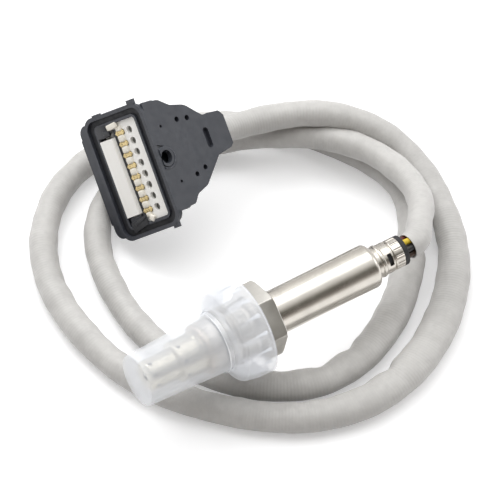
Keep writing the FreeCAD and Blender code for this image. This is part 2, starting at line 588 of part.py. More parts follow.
shroud = new_body("plug_shroud", plug_at)
c = S.rim_shift
rim_low, rim_top = c - S.rim_long, c + S.rim_long
grown(shroud, outline(shroud, "YZ_Plane", frame_of(S.rim_long, S.rim_high, S.rim_round, c)), S.rim_thick)
grown(shroud, outline(shroud, "YZ_Plane", frame_of(S.rim_long - S.rim_step, S.rim_high - S.rim_step, S.rim_round - S.rim_step, c), offset=S.rim_thick),
      S.collar_deep - S.rim_thick)
grown(shroud, outline(shroud, "YZ_Plane", frame_of(S.frame_long, S.rim_high - S.rim_step, S.rim_round - S.rim_step, S.frame_shift), offset=S.collar_deep),
      S.frame_deep - S.collar_deep)
# wing and slide rail along the underside
wing_low, wing_top = -(S.rim_high + S.wing_out), -(S.rim_high - S.rim_step - 1.5)
grown(shroud, outline(shroud, "YZ_Plane", [(rim_low + 1.6, wing_low, 3.2), (rim_top - 1.6, wing_low, 3.2), (rim_top - 1.6, wing_top), (rim_low + 1.6, wing_top)],
                      offset=S.rim_thick), S.collar_deep - S.rim_thick)
rail_low, rail_high = -(S.rim_long - 6.1), S.rim_long - 6.6
grown(shroud, outline(shroud, "XY_Plane", [(S.collar_deep - 0.9, rail_low), (S.collar_deep + 1.6, rail_low + 1.2, 0.5), (S.collar_deep + 1.6, rail_high, 0.5), (S.collar_deep - 0.9, rail_high)],
                      offset=-(S.rim_high + S.rail_out)), S.rail_out + S.rim_step + 0.2)
# small stops on the rim's ends
for low, high, out in ((8.6, 11.6, 1.2), (-8.6, -5.2, 0.5)):
    grown(shroud, outline(shroud, "XZ_Plane", [(0.1, low), (S.rim_thick, low), (S.rim_thick, high), (0.1, high)], offset=-(rim_top + out)), out + 0.4)
grown(shroud, outline(shroud, "XZ_Plane", [(0.1, 9.8), (S.rim_thick, 9.8), (S.rim_thick, 12.2), (0.1, 12.2)], offset=-(rim_low + 1.4)), 2.2)
moat_long, moat_high = S.rim_long - S.rim_wall, S.rim_high - S.rim_wall
tower_long, tower_high = moat_long - S.moat_ends, moat_high - S.moat_wide
grown(shroud, outline(shroud, "YZ_Plane", frame_of(moat_long, moat_high, S.rim_round - S.rim_wall, c),
                      frame_of(tower_long, tower_high, S.rim_round - S.rim_wall - 1.2, c)), S.moat_flat, cut=True)
side_long = S.frame_long - 2.6
for edge in (1, -1):
    inner_edge, outer_edge = edge * 1.0 * tower_high, edge * 1.0 * moat_high
    grown(shroud, outline(shroud, "YZ_Plane", [(S.frame_shift - side_long, inner_edge), (S.frame_shift + side_long, inner_edge),
                                               (S.frame_shift + side_long, outer_edge), (S.frame_shift - side_long, outer_edge)]), S.moat_deep, cut=True)
well_long, well_high = tower_long - S.tower_wall, tower_high - S.tower_wall
grown(shroud, outline(shroud, "YZ_Plane", frame_of(well_long, well_high, 1.2, c)), S.tower_deep + S.tower_face, cut=True)
grown(shroud, outline(shroud, "YZ_Plane", frame_of(tower_long + 0.4, tower_high + 0.4, S.rim_round - S.rim_wall - 0.9, c)), S.tower_face, cut=True)
latch_at = S.rim_thick + S.latch_hole
grown(shroud, outline(shroud, "XY_Plane", [(latch_at, 0.1, "hole", S.latch_hole - 0.15)], offset=moat_high - 0.8), 2.0, cut=True)

seal = new_body("face_seal", plug_at)
grown(seal, outline(seal, "YZ_Plane", frame_of(moat_long - 0.1, moat_high - 0.1, S.rim_round - S.rim_wall, c),
                    frame_of(tower_long + 0.1, tower_high + 0.1, S.rim_round - S.rim_wall - 1.2, c), offset=S.moat_flat - 1.4), 1.3)

carrier = new_body("terminal_carrier", plug_at)
fill_long, fill_high = well_long - 0.1, well_high - 0.1
bar_top = -fill_high + S.bar_high
slot_half = S.pole_pitch * 0.25
grown(carrier, outline(carrier, "YZ_Plane", frame_of(fill_long, fill_high, 1.1, c), offset=S.carrier_face), S.tower_deep + S.tower_face - S.carrier_face)
grown(carrier, outline(carrier, "YZ_Plane", [(c - fill_long - 1, -fill_high - 1), (c + fill_long + 1, -fill_high - 1), (c + fill_long + 1, bar_top), (c - fill_long - 1, bar_top)],
                       offset=S.carrier_face), 2.0, cut=True)
row_start = c - S.pole_pitch * 3.5
pole = grown(carrier, outline(carrier, "YZ_Plane", [(row_start, S.pole_row, "hole", S.pole_rad)], offset=S.carrier_face), 4.0, cut=True)
pattern(carrier, pole, 8, step=S.pole_pitch, axis="Y_Axis")
slot = grown(carrier, outline(carrier, "YZ_Plane", [
    (row_start - slot_half, bar_top - 0.5), (row_start + slot_half, bar_top - 0.5),
    (row_start + slot_half, S.barrel_row + 1.6, 0.7), (row_start - slot_half, S.barrel_row + 1.6, 0.7)], offset=S.carrier_face), 2.0, cut=True)
pattern(carrier, slot, 8, step=S.pole_pitch, axis="Y_Axis")

poles = new_body("terminals", plug_at)
pole = grown(poles, outline(poles, "XZ_Plane", [(S.carrier_face + 1.1, S.barrel_row - 0.25, "hole", 0.85)],
                            offset=-row_start - slot_half + 0.1), slot_half * 2 - 0.2)
pattern(poles, pole, 8, step=S.pole_pitch, axis="Y_Axis")

bar = new_body("terminal_lock", plug_at)
grown(bar, outline(bar, "XZ_Plane", [
    (S.carrier_face - S.bar_out, -fill_high + 0.3, 0.5), (S.carrier_face - S.bar_out, bar_top - 0.9, 0.5),
    (S.carrier_face + 0.6, bar_top - 0.5, 0.3), (S.carrier_face + 2.0 - S.shell_gap, bar_top - 0.5), (S.carrier_face + 2.0 - S.shell_gap, -fill_high + 0.3)],
    offset=-11.5), 25.5)

flap = new_body("end_latch", plug_at)
grown(flap, outline(flap, "XZ_Plane", [
    (S.carrier_face - 0.6, -fill_high + 0.5, 0.4), (S.carrier_face - 0.3, bar_top - 1.2, 0.4),
    (S.carrier_face + 2.0 - S.shell_gap, bar_top - 0.5), (S.carrier_face + 2.0 - S.shell_gap, -fill_high + 0.5)],
    offset=14.3), 1.9)

# backshell halves: the outline of the fishtail, split at the cable's axis
def shell(name, bottom, height, lap):
    """One half of the backshell. With a lap it reaches forward over the frame to the rim's flange."""
    body = new_body(name, plug_at)
    back = S.frame_deep + S.shell_gap
    end = S.shell_end
    front = S.rim_thick + S.shell_gap if lap else back
    loop = [(front, -17.6, 0.6)]
    if lap:
        loop += [(8.9, -16.9, 1.5), (11.4, -14.3, 2.0)]
    loop += [(16.5, -12.7, 3.0), (25.6, -4.9, 1.5), (end - 1.4, -3.9, 0.5), (end, -2.8, 0.5),
             (end, 6.6, 0.6), (end - 1.5, 8.5, 1.2), (26.4, 8.9, 2.0), (24.6, 8.7, 2.0)]
    if lap:
        loop += [(18.5, 13.9, 6.0), (12.5, 15.3, 3.0), (8.3, 18.1, 3.0), (front, 18.9, 0.6)]
    else:
        loop += [(18.5, 13.9, 6.0), (front, 15.2, 0.6)]
    grown(body, outline(body, "XY_Plane", loop, offset=bottom), height)
    if lap:
        grown(body, outline(body, "XZ_Plane", [(0, 0), (back, 0), (back, S.rim_high - S.rim_step + S.shell_gap), (0, S.rim_high - S.rim_step + S.shell_gap)],
                            offset=-30), 60, cut=True)
    channel = S.sleeve_rad + S.cable_gap
    hold = S.shell_end - S.hold_deep - 1.5
    grown(body, outline(body, "YZ_Plane", [(S.shell_axis, S.shell_mid, "hole", channel)], offset=hold), S.hold_deep + 3, cut=True)
    grown(body, outline(body, "YZ_Plane", [(S.shell_axis, S.shell_mid, "hole", S.sleeve_rad + S.clamp_wall + 0.1)], offset=S.shell_end - 6.55), S.clamp_len + 0.1, cut=True)
    return body


cover = shell("shell_cover", S.shell_mid + S.shell_gap, S.shell_top - S.shell_mid - S.shell_gap, True)
# raised ring, open at the rim, round a latch hole
grown(cover, outline(cover, "XY_Plane", [(latch_at, 0.1, "hole", S.latch_ring)], offset=S.shell_top - 0.3), 0.8)
grown(cover, outline(cover, "YZ_Plane", [(-5.0, S.shell_top - 0.4), (5.0, S.shell_top - 0.4), (5.0, S.shell_top + 1), (-5.0, S.shell_top + 1)], offset=S.rim_thick + S.shell_gap - 4.0), 4.0, cut=True)
grown(cover, outline(cover, "XY_Plane", [(latch_at, 0.1, "hole", S.latch_hole)], offset=S.shell_top - 2.0), 4.0, cut=True)
for across, up, wide in ((13.4, 10.2, 0.9), (17.8, 9.6, 0.9), (18.1, -7.1, 0.85), (13.8, -8.3, 0.85), (5.8, 9.8, 0.5), (6.3, -8.8, 0.5)):
    grown(cover, outline(cover, "XY_Plane", [(across, up, "hole", wide)], offset=S.shell_top - 2.5), 3.0, cut=True)
grown(cover, outline(cover, "XY_Plane", [(S.rim_thick, 3.5), (4.3, 3.6), (S.rim_thick, 4.7)], offset=S.shell_top - 0.5), 1.0, cut=True)
grown(cover, outline(cover, "XY_Plane", [(22.4, -1.9, 1.1), (24.7, -1.9, 1.1), (24.7, 4.8, 1.1), (22.4, 4.8, 1.1)], offset=S.shell_top - 1.4), 2.0, cut=True)
base = shell("shell_base", S.shell_bottom, S.shell_mid - S.shell_gap - S.shell_bottom, False)

clamp = new_body("cable_clamp", plug_at)
grown(clamp, outline(clamp, "YZ_Plane", [(S.shell_axis, S.shell_mid, "hole", S.sleeve_rad + S.clamp_wall)],
                     [(S.shell_axis, S.shell_mid, "hole", S.sleeve_rad + 0.05)], offset=S.shell_end - 6.5), S.clamp_len)

doc.recompute()

# ------------------------------------------------------------------ checks and files
broken = []
for item in doc.Objects:
    if "Invalid" in item.State or "Error" in item.State:
        broken.append("%s %s" % (item.Name, item.State))
    if item.TypeId == "Sketcher::SketchObject" and not item.FullyConstrained:
        print("not fully constrained: " + item.Name)
for part in PARTS:
    if part.Shape.isNull() or not part.Shape.isValid() or not part.Shape.Solids:
        broken.append("%s has no valid shape" % part.Label)
if broken:
    raise RuntimeError("; ".join(broken))
os.makedirs("parts", exist_ok=True)
for part in PARTS:
    part.Shape.exportStep(os.path.join("parts", part.Label + ".step"))
    box = part.Shape.BoundBox
    print("%-22s %d solid(s) %9.1f mm3  x %.1f..%.1f y %.1f..%.1f z %.1f..%.1f" % (
        part.Label, len(part.Shape.Solids), part.Shape.Volume, box.XMin, box.XMax, box.YMin, box.YMax, box.ZMin, box.ZMax))
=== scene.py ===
"""Exhaust nitrogen oxide probe with its cable and plug.

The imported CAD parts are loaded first; the pieces, the finishes and the studio below are built round them.
Everything stands in the frame of the CAD parts: the probe lies along X and Z points up. Lengths are in metres,
or in millimetres where a comment says so, and those are multiplied by MM where they are used.
"""

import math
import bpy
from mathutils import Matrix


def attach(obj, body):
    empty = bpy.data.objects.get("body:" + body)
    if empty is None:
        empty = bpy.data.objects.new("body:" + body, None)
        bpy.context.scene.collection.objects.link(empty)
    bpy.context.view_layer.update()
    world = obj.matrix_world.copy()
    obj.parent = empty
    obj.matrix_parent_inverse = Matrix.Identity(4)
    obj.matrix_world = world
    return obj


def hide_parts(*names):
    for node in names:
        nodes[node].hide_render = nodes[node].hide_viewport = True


bl_info = {
    "name": "Nitrogen Oxide Sensor",
    "version": (1, 0, 0),
    "blender": (4, 5, 0),
    "location": "3D View > Sidebar > Probe",
    "description": "Dresses the CAD parts of an exhaust probe: threaded screw, clear cap, soft cable and plug",
    "category": "Object",
}

import bmesh
import bpy
import numpy as np
from bpy.props import FloatProperty, FloatVectorProperty, IntProperty, PointerProperty
from mathutils import Matrix, Vector

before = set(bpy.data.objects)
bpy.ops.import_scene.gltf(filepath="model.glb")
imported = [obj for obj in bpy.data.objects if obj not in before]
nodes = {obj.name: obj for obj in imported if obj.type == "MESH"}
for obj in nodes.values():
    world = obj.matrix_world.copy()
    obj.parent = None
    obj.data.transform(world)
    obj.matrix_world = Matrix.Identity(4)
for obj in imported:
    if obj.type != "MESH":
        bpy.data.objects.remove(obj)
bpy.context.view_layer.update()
MM = 0.001
FLOOR = -0.0255
FLOOR_DROP = 0.00002  # the white plane lies this far under it

# The studio: directions from the camera's side, and the point that the camera looks at.
RIGHT = Vector((0.8396, -0.5432, 0))
AWAY = Vector((0.5432, 0.8396, 0))
UP = Vector((0, 0, 1))
TOWARD = Vector((-0.3492, -0.5397, 0.7660)).normalized()
TARGET = Vector((0.03365, 0.04387, FLOOR))
SENSOR = 36.0  # width of the camera's sensor, in millimetres
# Each lamp's name, place (to the right, away and up from the target), width and share of the key's power.
LAMPS = (
    ("key", (-0.35, 0.45, 0.75), 0.6, 1.0),
    ("top", (0.0, 0.15, 0.9), 0.9, 0.9),
    ("fill", (0.9, 0.3, 0.5), 0.5, 0.3),
)
# The studio's brightness from the far horizon (0) over the top (0.5) to the near horizon (1).
ROOM = (
    (0.0, (0.6, 0.59, 0.58)), (0.09, (0.8, 0.79, 0.78)), (0.3, (1.0, 1.0, 0.99)), (0.56, (1.0, 1.0, 1.0)),
    (0.65, (0.4, 0.39, 0.36)), (0.7, (0.12, 0.115, 0.1)), (0.88, (0.2, 0.18, 0.165)), (1.0, (0.8, 0.75, 0.71)),
)
CAMERA_RAY, GLOSSY_RAY, THROUGH_RAY = 0, 3, 6  # outputs of a Light Path node
GENERATED, OBJECT = 0, 3  # outputs of a Texture Coordinate node

# Control points of the cable in millimetres, from inside the plug's tail to the open end by the probe's neck.
# The fourth number is the half width of the sleeve there, which lies a little flat on the floor.
ROUTE = (
    (32.8, 73.32, 0.43, 4.2), (47.3, 75.7, -5.37, 4.3), (62.2, 72.3, -6.0, 4.4), (74.7, 66.2, -6.1, 4.2),
    (85.1, 57.7, -8.8, 4.2), (92.5, 47.1, -14.2, 4.2), (94.5, 33.2, -19.2, 4.4), (91.0, 16.8, -21.1, 4.6),
    (83.4, 0.4, -21.1, 5.2), (69.2, -15.4, -21.1, 5.9), (51.6, -27.0, -21.1, 6.1), (32.5, -32.3, -21.1, 6.0),
    (14.5, -29.8, -21.1, 5.6), (-1.2, -20.7, -21.1, 5.2), (-15.3, -5.7, -21.1, 5.0), (-27.0, 12.4, -21.1, 4.8),
    (-31.8, 33.8, -21.1, 4.7), (-31.0, 58.4, -21.1, 4.7), (-22.9, 79.2, -21.1, 4.5), (-7.1, 94.8, -21.1, 4.3),
    (10.9, 100.8, -21.1, 4.2), (30.4, 99.8, -21.1, 4.2), (48.4, 92.3, -21.1, 4.2), (63.9, 81.8, -21.1, 4.1),
    (74.4, 69.8, -21.1, 4.1), (82.9, 53.8, -21.1, 4.1), (87.0, 38.6, -21.1, 4.1), (82.0, 22.7, -21.1, 4.4),
    (71.0, 8.8, -21.1, 5.3), (58.1, -4.7, -21.1, 5.5), (39.8, -15.3, -21.1, 5.5), (20.9, -17.9, -21.1, 5.4),
    (4.2, -9.3, -21.1, 5.2), (-8.1, 5.8, -21.1, 4.8), (-15.2, 24.4, -21.1, 4.6), (-15.0, 47.3, -21.1, 4.4),
    (-8.6, 69.5, -21.1, 4.3), (3.9, 83.8, -21.1, 4.2), (21.4, 87.8, -21.1, 4.1), (38.9, 85.8, -20.1, 4.1),
    (50.9, 80.3, -17.6, 4.1), (60.9, 73.3, -15.6, 4.1), (69.9, 65.3, -13.6, 4.1), (77.4, 56.3, -12.1, 4.2),
    (83.4, 44.8, -11.6, 4.2), (85.0, 29.8, -9.8, 4.2), (81.3, 16.8, -6.2, 4.2), (73.7, 7.4, -2.6, 4.2),
    (69.0, 0.5, -0.2, 4.3), (64.7, 0.0, 0.0, 4.3),
)
# Buckles on the inner side of bends, in millimetres: the place, then the depth and the reach along the sleeve.
BUCKLES = (
    (23.3, -12.7, -19.0, 1.3, 2.4), (35.2, -10.7, -19.5, 1.2, 2.6), (29.6, -26.3, -20.0, 1.0, 2.2),
    (40.9, -24.5, -20.0, 1.1, 2.4), (-27.1, 61.8, -19.5, 0.9, 3.0), (8.9, -23.7, -19.0, 0.7, 2.6),
    (78.9, 10.8, -20.0, 0.9, 2.6),
)
STEPS_PER_POINT = 16  # places along the sleeve for each control point
FREE_HALF = 0.00415  # half of the sleeve's height where it hangs free
REST_HEIGHT = 0.0044  # height of the route above the floor where the sleeve lies on it
LIFT = 0.003  # rise over which a resting sleeve becomes round again
SEAT = 0.0042  # half height above which a resting sleeve's middle is raised
MOUTH = 0.0041  # radius of the open end
BORE_END, TAIL_END = 0.0002, 0.0003  # radii that close the bore and the end in the plug
# Slow swellings along the sleeve: size, radians a metre, and where they start.
RIPPLES = ((0.00008, 310, 0.0), (0.00006, 743, 1.3))
RIPPLE_WIDTH = 1.2  # how much more of a swelling shows in the width than in the height
TAIL_CHART, BORE_CHART = 0.004, 0.0005  # lengths of the closing rings on the sleeve's UV map

WIRE_COLOURS = {
    "wire_white": (0.8, 0.78, 0.7), "wire_yellow": (0.8, 0.58, 0.04), "wire_black": (0.02, 0.02, 0.02),
    "wire_brown": (0.06, 0.03, 0.015), "wire_grey": (0.25, 0.25, 0.25), "wire_blue": (0.02, 0.06, 0.3),
    "wire_green": (0.02, 0.16, 0.05), "wire_red": (0.12, 0.016, 0.01),
}

# The hollow screw: stations along the axis, radii and flats in millimetres.
SCREW_FRONT, THREAD_FRONT, THREAD_BACK = -8.0, -5.2, 4.0
HEX_FRONT, HEX_BACK, HEX_FLATS = 5.02, 12.0, 22.0
HEX_TURN = 44.0  # the hexagon's first corner, in degrees from +Y towards +Z
CORNER_REACH = 13.2  # a little beyond the hexagon's corners
SCREW_BORE, THREAD_CREST, NOSE_RADIUS, NECK_RADIUS = 7.42, 9.97, 9.2, 8.9
RIDGE_SIDES = 72  # faces of the thread in one turn
RIDGE_SLOPE = 1.1  # how fast the thread rises at its two ends

# The cap: wedges under its rim and lines round its steps, in millimetres and degrees.
WEDGES, FIRST_WEDGE, WEDGE_RADIUS, WEDGE_PLACE = 15, 143.0, 14.3, 1.6
WEDGE_LENGTH, WEDGE_WIDE, WEDGE_NARROW = 5.4, 0.75, 0.05  # length and the radii of its two ends
CAP_LINES = ((-5.7, 10.95, 0.2), (-8.3, 10.3, 0.14), (4.9, 15.6, 0.18))  # place, radius and thickness

# The plug's own frame, in the CAD parts' frame: X back from its face to its tail, Z out of its cover.
PLUG = Matrix((
    (0.916, 0.1029, 0.387, 0.00665),
    (0.161, 0.7905, -0.591, 0.07182),
    (-0.367, 0.6037, 0.708, 0.00323),
    (0, 0, 0, 1),
))
CONTACTS, ROW_START, ROW_PITCH = 8, -13.685, 3.71  # the row of contacts along the plug, in millimetres
BARREL, END_BARREL, END_INSET = (1.5, 2.45, 3.3), (1.4, 1.6, 2.6), 0.45  # blocks beside the contacts
TIP_BAR, TIP_DIAMOND = (0.5, 1.3, 3.4), (0.5, 1.45, 1.45)  # the two shapes that make one contact
TIP_MIDDLE, TIP_HALF = 0.35, 1.25  # where a contact's middle lies, and its diamonds on both sides of it
HOLE_RADIUS, HOLE_DEPTH, HOLE_ROW = 1.2, 2.4, 4.6  # the carrier's round holes
# Blocks of the carrier in the plug's own frame: size, place and bevel in millimetres, turn in degrees.
CARRIER_ENDS = (
    ((0.9, 2.0, 4.8), (0.6, 15.1, -1.9), 0.4, -5.0),
    ((0.9, 2.0, 2.2), (0.6, -16.5, 1.5), 0.4, 35.0),
)
# The long thin gap block is a dark sheet of painted shade in a gap of the carrier; the catches and flaps are
# dark plastic.
CARRIER_GAPS = (
    ("gap", (0.3, 29.3, 1.5), (1.25, -0.7, -1.85), 0.0, 0.0),
    ("catch", (1.1, 4.2, 5.2), (0.75, 14.4, -6.9), 0.3, 0.0),
    ("catch", (0.9, 1.6, 3.2), (0.45, 13.6, -4.9), 0.3, 12.0),
    ("flap", (0.7, 3.4, 7.6), (0.55, -17.0, -4.6), 0.3, -9.0),
    ("flap", (0.9, 1.1, 5.4), (0.25, -16.2, -3.9), 0.3, -14.0),
)
# The lip round the latch hole, in millimetres of the plug's own frame, and the place where it ends.
LIP_RADIUS, LIP_THICKNESS, LIP_STRETCH, LIP_PLACE, LIP_END = 3.35, 0.33, 1.15, (3.3, -0.2, 13.95), 1.3


# Settings
class SleeveSettings(bpy.types.PropertyGroup):
    """Sizes and colour of the cable's sleeve."""

    half_height: FloatProperty(
        name="Half height", description="Half of the sleeve's height where it lies flat",
        default=0.0043, subtype="DISTANCE", unit="LENGTH",
    )
    wall: FloatProperty(
        name="Wall", description="Thickness of the sleeve at its open end",
        default=0.0005, subtype="DISTANCE", unit="LENGTH",
    )
    rib_pitch: FloatProperty(
        name="Rib pitch", description="Distance between the fine ribs round the sleeve",
        default=0.001, subtype="DISTANCE", unit="LENGTH",
    )
    around: IntProperty(name="Sides", description="Points round each ring of the sleeve", default=44, min=12)
    colour: FloatVectorProperty(
        name="Colour", description="Base colour of the sleeve",
        subtype="COLOR", default=(0.56, 0.55, 0.535), min=0, max=1,
    )


class ProbeSettings(bpy.types.PropertyGroup):
    """Sizes and colours of the probe."""

    pitch: FloatProperty(
        name="Thread pitch", description="Advance of the thread in one turn",
        default=0.0015, subtype="DISTANCE", unit="LENGTH",
    )
    depth: FloatProperty(
        name="Thread depth", description="From the crest of the thread to its root",
        default=0.0009, subtype="DISTANCE", unit="LENGTH",
    )
    steel: FloatVectorProperty(
        name="Steel", description="Colour of the tube and the neck",
        subtype="COLOR", default=(0.68, 0.645, 0.59), min=0, max=1,
    )
    screw_steel: FloatVectorProperty(
        name="Screw steel", description="Colour of the hexagon and thread",
        subtype="COLOR", default=(0.72, 0.7, 0.66), min=0, max=1,
    )
    cap: FloatVectorProperty(
        name="Cap", description="Tint of the clear cap",
        subtype="COLOR", default=(0.87, 0.89, 0.93), min=0, max=1,
    )


class PlugSettings(bpy.types.PropertyGroup):
    """Colours of the plug."""

    shell: FloatVectorProperty(
        name="Housing", description="Colour of the moulded housing",
        subtype="COLOR", default=(0.042, 0.046, 0.058), min=0, max=1,
    )
    carrier: FloatVectorProperty(
        name="Carrier", description="Colour of the contact carrier",
        subtype="COLOR", default=(0.97, 0.96, 0.93), min=0, max=1,
    )
    contact: FloatVectorProperty(
        name="Contacts", description="Colour of the plated contacts",
        subtype="COLOR", default=(0.6, 0.48, 0.25), min=0, max=1,
    )


class StageSettings(bpy.types.PropertyGroup):
    """The studio and its light."""

    distance: FloatProperty(
        name="Camera distance", description="From the camera to the middle of the view",
        default=6.5, subtype="DISTANCE", unit="LENGTH",
    )
    field: FloatProperty(
        name="Field", description="Width of the view at its middle",
        default=0.1587, subtype="DISTANCE", unit="LENGTH",
    )
    key: FloatProperty(
        name="Key light", description="Power of the large soft lamp",
        default=3.0, subtype="POWER", unit="POWER",
    )
    floor: FloatVectorProperty(
        name="Floor", description="Colour of the floor",
        subtype="COLOR", default=(0.8, 0.8, 0.81), min=0, max=1,
    )


# Modelling helpers
def put_down():
    """Leaves edit mode and selects nothing."""
    if bpy.context.object and bpy.context.object.mode != "OBJECT":
        bpy.ops.object.mode_set(mode="OBJECT")
    bpy.ops.object.select_all(action="DESELECT")


def pick_up(*pieces):
    """Selects only these pieces and makes the first one active."""
    put_down()
    for piece in pieces:
        piece.select_set(True)
    bpy.context.view_layer.objects.active = pieces[0]


def open_up(piece):
    """Goes into edit mode with the whole mesh selected."""
    pick_up(piece)
    bpy.ops.object.mode_set(mode="EDIT")
    bpy.ops.mesh.select_all(action="SELECT")


def named(name):
    """The active object, under its own name."""
    piece = bpy.context.object
    piece.name = name
    piece.data.name = name
    return piece


def settle(piece, place=None):
    """Applies the piece's own transform, then moves its mesh to its place in the frame."""
    pick_up(piece)
    bpy.ops.object.transform_apply(location=True, rotation=True, scale=True)
    if place is not None:
        piece.data.transform(place)
    return piece


def modify(piece, kind, **settings):
    """Adds a modifier with these settings and applies it."""
    pick_up(piece)
    bpy.ops.object.modifier_add(type=kind)
    modifier = piece.modifiers[-1]
    for key, value in settings.items():
        setattr(modifier, key, value)
    bpy.ops.object.modifier_apply(modifier=modifier.name)
    return piece


def tidy_skin(piece):
    """Merges doubles and points every face outwards."""
    open_up(piece)
    bpy.ops.mesh.remove_doubles(threshold=0.002 * MM)
    bpy.ops.mesh.normals_make_consistent(inside=False)
    bpy.ops.object.mode_set(mode="OBJECT")
    return piece


def smooth(piece, degrees):
    """Smooth shading that keeps edges sharper than this."""
    pick_up(piece)
    bpy.ops.object.shade_smooth_by_angle(angle=math.radians(degrees))
    return piece


def joined(name, *pieces):
    """Joins pieces into the first one."""
    pick_up(*pieces)
    bpy.ops.object.join()
    return named(name)


def drawn(name, corners):
    """A piece that is one open line of edges through these corners."""
    put_down()
    bpy.ops.mesh.primitive_plane_add(size=1)
    piece = named(name)
    open_up(piece)
    bpy.ops.mesh.delete(type="VERT")
    mesh = bmesh.from_edit_mesh(piece.data)
    points = [mesh.verts.new(corner) for corner in corners]
    for first, second in zip(points, points[1:]):
        mesh.edges.new((first, second))
    bmesh.update_edit_mesh(piece.data)
    bpy.ops.object.mode_set(mode="OBJECT")
    return piece


def lathe(name, profile, steps=96):
    """Spins a profile of (x, radius) in millimetres about the probe's axis."""
    piece = drawn(name, [(x * MM, 0, radius * MM) for x, radius in profile])
    open_up(piece)
    bpy.ops.mesh.spin(steps=steps, angle=2 * math.pi, center=(0, 0, 0), axis=(1, 0, 0), use_auto_merge=True)
    bpy.ops.object.mode_set(mode="OBJECT")
    return tidy_skin(piece)


def cut_away(piece, place, normal, behind=True, fill=False):
    """Cuts a piece along a plane and clears what lies behind the plane, or in front of it."""
    open_up(piece)
    bpy.ops.mesh.bisect(
        plane_co=place, plane_no=normal, clear_inner=behind, clear_outer=not behind, use_fill=fill
    )
    bpy.ops.object.mode_set(mode="OBJECT")


# Shader helpers
class Field:
    """A socket of a material's node tree; arithmetic on it adds Math nodes."""

    def __init__(self, tree, socket=None):
        self.tree = tree
        self.socket = socket

    def node(self, kind, settings=None, sockets=None, out=0):
        """Adds a node: its settings first, then its sockets' values or links."""
        made = self.tree.nodes.new(kind)
        for key, value in (settings or {}).items():
            if key == "stops":
                ramp = made.color_ramp
                while len(ramp.elements) < len(value):
                    ramp.elements.new(0.5)
                for element, (position, colour) in zip(ramp.elements, value):
                    element.position = position
                    element.color = (*colour, 1)
            else:
                setattr(made, key, value)
        for key, value in (sockets or {}).items():
            target = made.inputs[key]
            if isinstance(value, Field):
                self.tree.links.new(value.socket, target)
            elif isinstance(value, tuple) and len(target.default_value) == 4:
                target.default_value = (*value, 1)
            else:
                target.default_value = value
        return Field(self.tree, made.outputs[out])

    def maths(self, operation, *values):
        """A Math node on these values."""
        return self.node("ShaderNodeMath", {"operation": operation}, dict(enumerate(values)))

    def __add__(self, other):
        return self.maths("ADD", self, other)

    __radd__ = __add__

    def __mul__(self, other):
        return self.maths("MULTIPLY", self, other)

    __rmul__ = __mul__

    def clamped(self):
        """Kept between 0 and 1."""
        return self.node("ShaderNodeClamp", None, {"Value": self})

    def span(self, low, high, start=0.0, end=1.0):
        """Maps low to high onto start to end, smoothly and clamped."""
        sockets = {"Value": self, "From Min": low, "From Max": high, "To Min": start, "To Max": end}
        return self.node("ShaderNodeMapRange", {"interpolation_type": "SMOOTHSTEP"}, sockets)

    def mixed(self, first, second):
        """A colour between first and second by this factor."""
        return self.node("ShaderNodeMix", {"data_type": "RGBA"}, {0: self, 6: first, 7: second}, out=2)

    def place(self, scale=(1, 1, 1)):
        """Object coordinates, stretched along each axis."""
        here = self.node("ShaderNodeTexCoord", out=OBJECT)
        return self.node("ShaderNodeMapping", None, {"Vector": here, "Scale": scale})

    def noise(self, where, scale, detail=4.0, roughness=0.55):
        """Cloudy noise, finer with a larger scale."""
        sockets = {"Vector": where, "Scale": scale, "Detail": detail, "Roughness": roughness}
        return self.node("ShaderNodeTexNoise", None, sockets)

    def cells(self, where, scale):
        """Distance to the nearest of many scattered points, for a spark grain."""
        return self.node("ShaderNodeTexVoronoi", None, {"Vector": where, "Scale": scale})

    def part(self, axis):
        """One coordinate of this vector."""
        return self.node("ShaderNodeSeparateXYZ", None, {0: self}, out=axis)

    def bump(self, strength, depth):
        """A normal that takes this field as its height."""
        return self.node("ShaderNodeBump", None, {"Strength": strength, "Distance": depth, "Height": self})


def finish(name, colour, roughness, metallic=0.0, bump=None, depth=0.0, strength=0.0, **others):
    """A material on one Principled shader.

    A value is a number, a colour, or a function of the sheet that gives a Field; a Field is linked.
    """
    material = bpy.data.materials.new(name)
    material.use_nodes = True
    tree = material.node_tree
    shader = tree.nodes["Principled BSDF"]
    sheet = Field(tree)
    values = {"Base Color": colour, "Roughness": roughness, "Metallic": metallic, **others}
    for key, value in values.items():
        if callable(value):
            tree.links.new(value(sheet).socket, shader.inputs[key])
        elif isinstance(value, tuple):
            shader.inputs[key].default_value = (*value, 1)
        else:
            shader.inputs[key].default_value = value
    if bump is not None:
        tree.links.new(bump(sheet).bump(strength, depth).socket, shader.inputs["Normal"])
    return material


def dress(piece, material):
    """Gives a piece one material."""
    piece.data.materials.clear()
    piece.data.materials.append(material)


def shade(colour, factor):
    """A darker or paler shade of a colour."""
    return tuple(min(1.0, channel * factor) for channel in colour)


# Finishes
def turned_steel(name, colour, scale, dark, rough):
    """Steel turned on a lathe: very fine rings round the axis and faint stains."""

    def stains(f):
        clouds = f.noise(f.place(), 160 * scale, 5.0) * 0.95 + f.noise(f.place((30, 1, 1)), 90 * scale) * 0.12
        return clouds.span(0.3, 0.75).mixed(shade(colour, dark), colour)

    def polish(f):
        rings = f.noise(f.place(), 240 * scale) * 0.8 + f.noise(f.place((40, 1, 1)), 120 * scale, 3.0) * 0.2
        return rings.span(0.25, 0.75, *rough)

    def marks(f):
        return f.noise(f.place((70, 1, 1)), 90 * scale, 3.0)

    return finish(name, stains, polish, 1.0, bump=marks, depth=0.0000012, strength=0.4)


